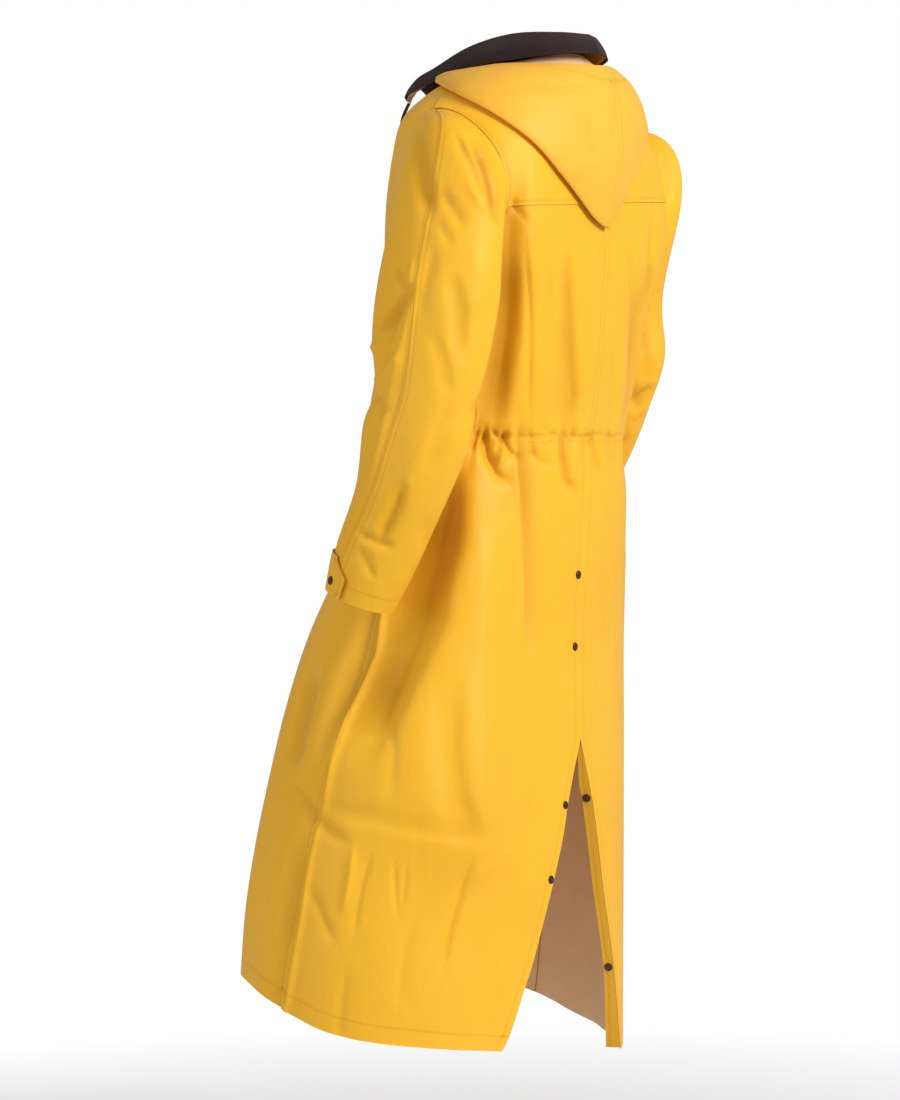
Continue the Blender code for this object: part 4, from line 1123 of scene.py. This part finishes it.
# Stations of each half from the middle of the back to the front: angle at the neck; angle and level of its
# lowest edge on the left and the right half; the opening's edge; and how far the half bellies out.
HOOD_COLUMNS = (
    "neck", "edge_left", "edge_right", "level_left", "level_right", "open_x", "open_y", "open_z", "belly",
)
HOOD_STATIONS = (
    (90.0, 87.0, 93.0, 4.45, 4.45, 0.000, 0.126, 0.002, 0.019),
    (80.0, 79.0, 82.0, 4.32, 3.85, 0.030, 0.120, -0.001, 0.019),
    (70.0, 71.0, 71.0, 4.05, 3.15, 0.058, 0.104, -0.003, 0.018),
    (56.0, 60.0, 60.0, 3.55, 2.55, 0.082, 0.080, -0.004, 0.015),
    (42.0, 47.0, 47.0, 2.85, 2.10, 0.100, 0.052, -0.002, 0.012),
    (28.0, 31.0, 31.0, 2.25, 1.75, 0.110, 0.026, -0.001, 0.010),
    (12.0, 12.0, 12.0, 1.72, 1.40, 0.123, 0.000, -0.006, 0.008),
    (-6.0, -6.0, -6.0, 1.22, 1.04, 0.127, -0.026, -0.013, 0.006),
    (-22.0, -22.0, -22.0, 0.70, 0.70, 0.120, -0.050, -0.022, 0.003),
)
HOOD_CREASES = (
    (((510, 84), (560, 86), (606, 82)), 5, 6, 2.0, 0.0),
    (((596, 96), (590, 130), (596, 168)), 7, 6, 2.4, 0.0),
    (((520, 90), (548, 118), (576, 160)), 9, 9, 1.6, 0.0),
    (((614, 92), (616, 120), (612, 156)), 6, 5, 2.4, 0.0),
    (((628, 100), (640, 132), (640, 170)), 7, 7, 2.0, 0.0),
    (((560, 176), (580, 168), (602, 158)), 8, 8, -1.8, 0.0),
)


def through(points, parts):
    """Smooth path through a list of rows of points, read at parts from 0 to 1 of its length."""
    return smooth_between(np.stack(points), np.asarray(parts) * (len(points) - 1))


def hood_half(word, columns, count):
    """Half of the hood, drawn on the left: rows down the body to the fold, then up over it, bellied, to the
    opening."""
    at = np.linspace(0.0, len(HOOD_STATIONS) - 1.0, columns)
    data = table(HOOD_COLUMNS, HOOD_STATIONS)
    row = {name: smooth_between(data[name], at) for name in HOOD_COLUMNS}
    edge = row["edge_" + word]
    lowest = row["level_" + word]
    near = np.interp(row["neck"], (-22.0, -4.0, 10.0), (0.0032, 0.0036, 0.0052))
    rows = []
    for part in np.linspace(0.0, 1.0, 6):
        angle = row["neck"] * (1.0 - part) + edge * part
        rows.append(body_plain_out(angle, 0.05 * (1.0 - part) + (lowest - 0.10) * part, near))
    rows.append(body_plain_out(edge, lowest, near + 0.004))
    opening = np.stack([row["open_x"], row["open_y"], row["open_z"]], axis=-1)
    for part in (0.06, 0.25, 0.45, 0.65, 0.85):
        angle = edge * (1.0 - part) + row["neck"] * part
        level = (lowest - 0.05) * (1.0 - part) + 0.5 * part
        rise = near + 0.007 + row["belly"] * math.sin(math.pi * part * 0.75)
        over = body_plain_out(angle, level, rise)
        rows.append(over * (1.0 - part**4) + opening * part**4)
    rows.append(opening)
    return through(rows, np.linspace(0.0, 1.0, count))


hood_coated = coated_cloth("hood_cloth", HOOD_LIT, YELLOW_DEEP, 0.50)
for side, word in ((1.0, "left"), (-1.0, "right")):
    grid = hood_half(word, 72, 110) * np.array([side, 1.0, 1.0])
    normal = unit(np.cross(np.gradient(grid, axis=0), np.gradient(grid, axis=1))) * side
    normal[:, 0] = unit(normal[:, 0] * np.array([0.0, 1.0, 1.0]))
    creased = grid + normal * crease_depth(grid, normal, HOOD_CREASES)[..., None]
    shell(
        f"hood_{word}", creased, {"a": 0.0, "foot": 0.020}, grid, flip=side < 0,
        coat=hood_coated,
    )

# --- The collar ---
# The upper collar is fine dark brown corduroy: a stand, a fold and a fall. The under-collar below the fall is
# the coat's own yellow cloth.
# Stations go from the middle of the back to the front, on the left: angle at the neck, fold and free edge.
COLLAR_COLUMNS = ("neck", "fold_x", "fold_y", "fold_z", "edge_x", "edge_y", "edge_z")
COLLAR_STATIONS = (
    (90.0, 0.000, 0.098, 0.041, 0.000, 0.115, 0.019),
    (60.0, 0.049, 0.082, 0.040, 0.058, 0.096, 0.015),
    (30.0, 0.084, 0.036, 0.037, 0.100, 0.041, 0.006),
    (0.0, 0.094, -0.020, 0.023, 0.112, -0.022, -0.004),
    (-30.0, 0.085, -0.076, 0.000, 0.100, -0.086, -0.022),
    (-56.0, 0.056, -0.118, -0.009, 0.067, -0.132, -0.029),
    (-80.0, 0.022, -0.138, -0.016, 0.024, -0.154, -0.033),
)
RIB = 0.0016
COLLAR_WALL = 0.0014
UNDER_COLLAR_GAP = 0.0030


def corduroy():
    """Fine cord: soft ribs across the collar's length, with painted shade between them, and a short pile."""
    made, tree, shader = new_material(
        "corduroy", Specular_IOR_Level=0.2, Sheen_Weight=0.15, Sheen_Roughness=0.5,
        Sheen_Tint=(0.75, 0.55, 0.55, 1.0),
    )
    place = object_place(tree)
    along_collar, _ = cut_place(tree)
    ribs = remap(tree, wave(tree, along_collar, RIB), -1.0, 0.6, 0.0, 1.0)
    clouds = noise(tree, place, 0.03, 4.0)
    pile = noise(tree, place, 0.0007, 2.0)
    # Painted shade: the colour is darkest in the grooves between the ribs.
    colour = blend(tree, ribs, (0.005, 0.003, 0.003, 1.0), (0.022, 0.010, 0.011, 1.0))
    colour = blend(tree, remap(tree, clouds, 0.4, 0.75, 0.0, 0.5), colour, (0.036, 0.018, 0.019, 1.0))
    tree.links.new(colour, shader.inputs["Base Color"])
    height = bump(tree, ribs, 0.0005, 0.9)
    tree.links.new(bump(tree, pile, 0.0002, 0.5, height), shader.inputs["Normal"])
    tree.links.new(remap(tree, clouds, 0.3, 0.7, 0.78, 0.92), shader.inputs["Roughness"])
    return made


def collar_lines(count):
    """Stations of the whole collar from the right point round the back to the left one."""
    last = len(COLLAR_STATIONS) - 1.0
    at = np.linspace(-last, last, count)
    data = table(COLLAR_COLUMNS, COLLAR_STATIONS)
    row = {name: smooth_between(data[name], np.abs(at)) for name in COLLAR_COLUMNS}
    side = np.where(at < 0, -1.0, 1.0)
    fold = np.stack([row["fold_x"] * side, row["fold_y"], row["fold_z"]], axis=-1)
    edge = np.stack([row["edge_x"] * side, row["edge_y"], row["edge_z"]], axis=-1)
    return np.where(at < 0, 180.0 - row["neck"], row["neck"]), fold, edge


angle, fold, edge = collar_lines(220)
away = unit((edge - fold) * np.array([1.0, 1.0, 0.0]))
stand_foot = body(angle, np.zeros(len(angle)), -0.002) + np.array([0.0, 0.0, 0.0028])
stand_mid = stand_foot * 0.45 + fold * 0.55 - away * 0.003
crest = fold + away * 0.003 + np.array([0.0, 0.0, 0.0015])
fall_mid = (fold + edge) / 2 + away * 0.004
cord_cloth = corduroy()
grid = through([stand_foot, stand_mid, fold, crest, fall_mid, edge], np.linspace(0.0, 1.0, 40))
collar = shell(
    "collar", grid, {"foot": 0.0}, coat=cord_cloth, wall=COLLAR_WALL
)
collar.data.materials[1] = cord_cloth
lower = through([crest, fall_mid, edge], np.linspace(0.28, 1.0, 16))
front = smooth_step((np.abs(np.linspace(-1.0, 1.0, len(angle))) - 0.62) / 0.14)
raised = 0.0028 - 0.0050 * front
inner = lower - away * UNDER_COLLAR_GAP + np.array([0.0, 0.0, 1.0]) * raised[:, None]
shell("under_collar", inner, {"foot": 0.0})

# --- The snaps ---
# Pressed brown caps, 10.6 mm across: two on the closed back, two on each edge of the vent, six down the fly
# and one on each cuff tab. Each is a dished cap with a rolled rim.
SNAP_RADIUS = 0.0053
SNAP_SIDES = 32
SNAP_SINK = 0.0006
SNAP_BROWN = (0.055, 0.014, 0.008)
SNAP_WORN = (0.160, 0.060, 0.030)
SNAP_PROFILE = (  # part of the radius, height in millimetres
    (1.00, 0.0), (1.04, 0.5), (1.04, 1.1), (0.98, 1.7), (0.88, 2.0), (0.78, 1.9), (0.70, 1.6), (0.60, 1.5),
    (0.44, 1.75), (0.22, 2.0), (0.02, 2.05),
)


def snap_metal():
    """Brown lacquer on pressed metal, worn to a paler tone in specks, with a fine rough grain."""
    made, tree, shader = new_material("snap_metal", Metallic=0.65, Coat_Weight=0.3)
    place = object_place(tree)
    specks = noise(tree, place, 0.0022, 4.0, 0.6)
    worn = remap(tree, specks, 0.5, 0.75, 0.0, 0.6)
    colour = blend(tree, worn, (*SNAP_BROWN, 1.0), (*SNAP_WORN, 1.0))
    tree.links.new(colour, shader.inputs["Base Color"])
    tree.links.new(remap(tree, specks, 0.3, 0.7, 0.26, 0.44), shader.inputs["Roughness"])
    tree.links.new(bump(tree, specks, 0.00008, 0.5), shader.inputs["Normal"])
    return made


SNAP_METAL = snap_metal()


def snap(name, centre, outward):
    """A profile turned round the outward axis, its foot sunk a little into the cloth."""
    outward = unit(np.asarray(outward, dtype=float))
    first = unit(np.cross(outward, np.array([0.0, 0.0, 1.0])))
    second = np.cross(outward, first)
    turn = np.linspace(0.0, 2.0 * math.pi, SNAP_SIDES, endpoint=False)[None, :, None]
    radius = np.array([row[0] for row in SNAP_PROFILE])[:, None, None] * SNAP_RADIUS
    height = np.array([row[1] for row in SNAP_PROFILE])[:, None, None] * 0.001
    ring = np.cos(turn) * first + np.sin(turn) * second
    grid = centre + ring * radius + outward * (height - SNAP_SINK)
    mesh = grid_mesh(name + "_cap", grid, np.zeros(grid.shape[:2] + (2,)), round_columns=True)
    close_ends(mesh)
    mesh.materials.append(SNAP_METAL)
    new_piece(name + "_cap", mesh, name)


def on_body(angle, level, out):
    """A point beside the body and the outward direction there."""
    low = body(np.array([angle]), np.array([level]), out)[0]
    high = body(np.array([angle]), np.array([level]), out + 0.01)[0]
    return low, high - low


BACK_SNAPS = (("closed_upper", 87.5, 10.22), ("closed_lower", 87.5, 10.98))
LEFT_VENT_SNAPS = (("left_upper", 12.95), ("left_lower", 13.85))
RIGHT_VENT_SNAPS = (("right_upper", 12.88), ("right_lower", 14.98))
FRONT_SNAP_LEVELS = (1.2, 3.2, 5.2, 7.2, 9.2, 11.0)
for name, angle, level in BACK_SNAPS:
    snap("snap_back_" + name, *on_body(angle, level, LIP * 0.3))
for name, level in LEFT_VENT_SNAPS:
    angle = float(np.interp(level, EDGE_LEVELS, VENT_LEFT)) - 1.2
    snap("snap_vent_" + name, *on_body(angle, level, LIP * 0.3))
for name, level in RIGHT_VENT_SNAPS:
    upper, middle, lower = underlap(level + np.array([-0.05, 0.0, 0.05]), np.full(3, 0.5))
    facing = unit(np.cross(upper - lower, UNDERLAP_WAY))
    snap("snap_vent_" + name, middle + facing * SNAP_SINK, facing)
for number, level in enumerate(FRONT_SNAP_LEVELS):
    snap(f"snap_front_{number + 1}", *on_body(-90.0, level, LAP))
for side, word in ((1.0, "left"), (-1.0, "right")):
    place, _ = sleeve(*TAB_SNAP, side, TAB_OUT)
    way = sleeve_normals(*TAB_SNAP, side)
    snap("snap_cuff_" + word, place[0, 0], way[0, 0])

# --- The floor and the light ---
# A pale studio: a floor that fades into white, one large soft light on the right, a wide weak one on the
# left and a faint one above.
FLOOR_HEIGHT = -1.50
bpy.ops.mesh.primitive_plane_add(size=60.0, location=(0.0, 0.0, FLOOR_HEIGHT))
floor = bpy.context.object
floor.name = "floor"
floor_paint, floor_tree, floor_shader = new_material(
    "floor_paint", Base_Color=(0.93, 0.93, 0.93, 1.0), Roughness=0.9
)
floor_place = object_place(floor_tree)
reach_node = node(floor_tree, "ShaderNodeVectorMath", {"operation": "LENGTH"}, {0: floor_place})
far_off = remap(floor_tree, reach_node.outputs["Value"], 0.5, 1.6, 0.0, 1.0)
floor_seen = floor_tree.nodes.new("ShaderNodeLightPath").outputs["Is Camera Ray"]
glow = remap(floor_tree, floor_seen, 0.0, 1.0, 0.5, 1.0)
floor_glow = node(floor_tree, "ShaderNodeEmission", {}, {"Strength": glow})
floor_ends = {0: far_off, 1: floor_shader.outputs[0], 2: floor_glow.outputs[0]}
floor_mix = node(floor_tree, "ShaderNodeMixShader", {}, floor_ends)
floor_tree.links.new(floor_mix.outputs[0], floor_tree.nodes["Material Output"].inputs["Surface"])
floor.data.materials.append(floor_paint)


def soft_light(name, bearing, height, distance, size, power):
    """A square light that faces the coat's middle from a bearing in degrees, as the camera's is counted."""
    data = bpy.data.lights.new(name, "AREA")
    data.size = size
    data.energy = power
    made = bpy.data.objects.new(name, data)
    turn = math.radians(bearing)
    made.location = Vector((distance * math.sin(turn), -distance * math.cos(turn), height))
    aim = Vector((0.0, 0.0, -0.6))
    made.rotation_euler = (made.location - aim).to_track_quat("Z", "Y").to_euler()
    bpy.context.scene.collection.objects.link(made)


soft_light("key", 174.0, 1.2, 3.6, 1.6, 148.0)
soft_light("fill", 72.0, 0.6, 4.2, 2.4, 52.0)
soft_light("top", 130.0, 3.2, 1.2, 2.5, 9.0)
world = bpy.data.worlds.new("studio")
world.use_nodes = True
background = world.node_tree.nodes["Background"]
seen = world.node_tree.nodes.new("ShaderNodeLightPath").outputs["Is Camera Ray"]
strength = remap(world.node_tree, seen, 0.0, 1.0, 0.34, 1.0)
world.node_tree.links.new(strength, background.inputs["Strength"])
background.inputs["Color"].default_value = (1.0, 1.0, 1.0, 1.0)
bpy.context.scene.world = world
bpy.context.scene.view_settings.view_transform = "Standard"

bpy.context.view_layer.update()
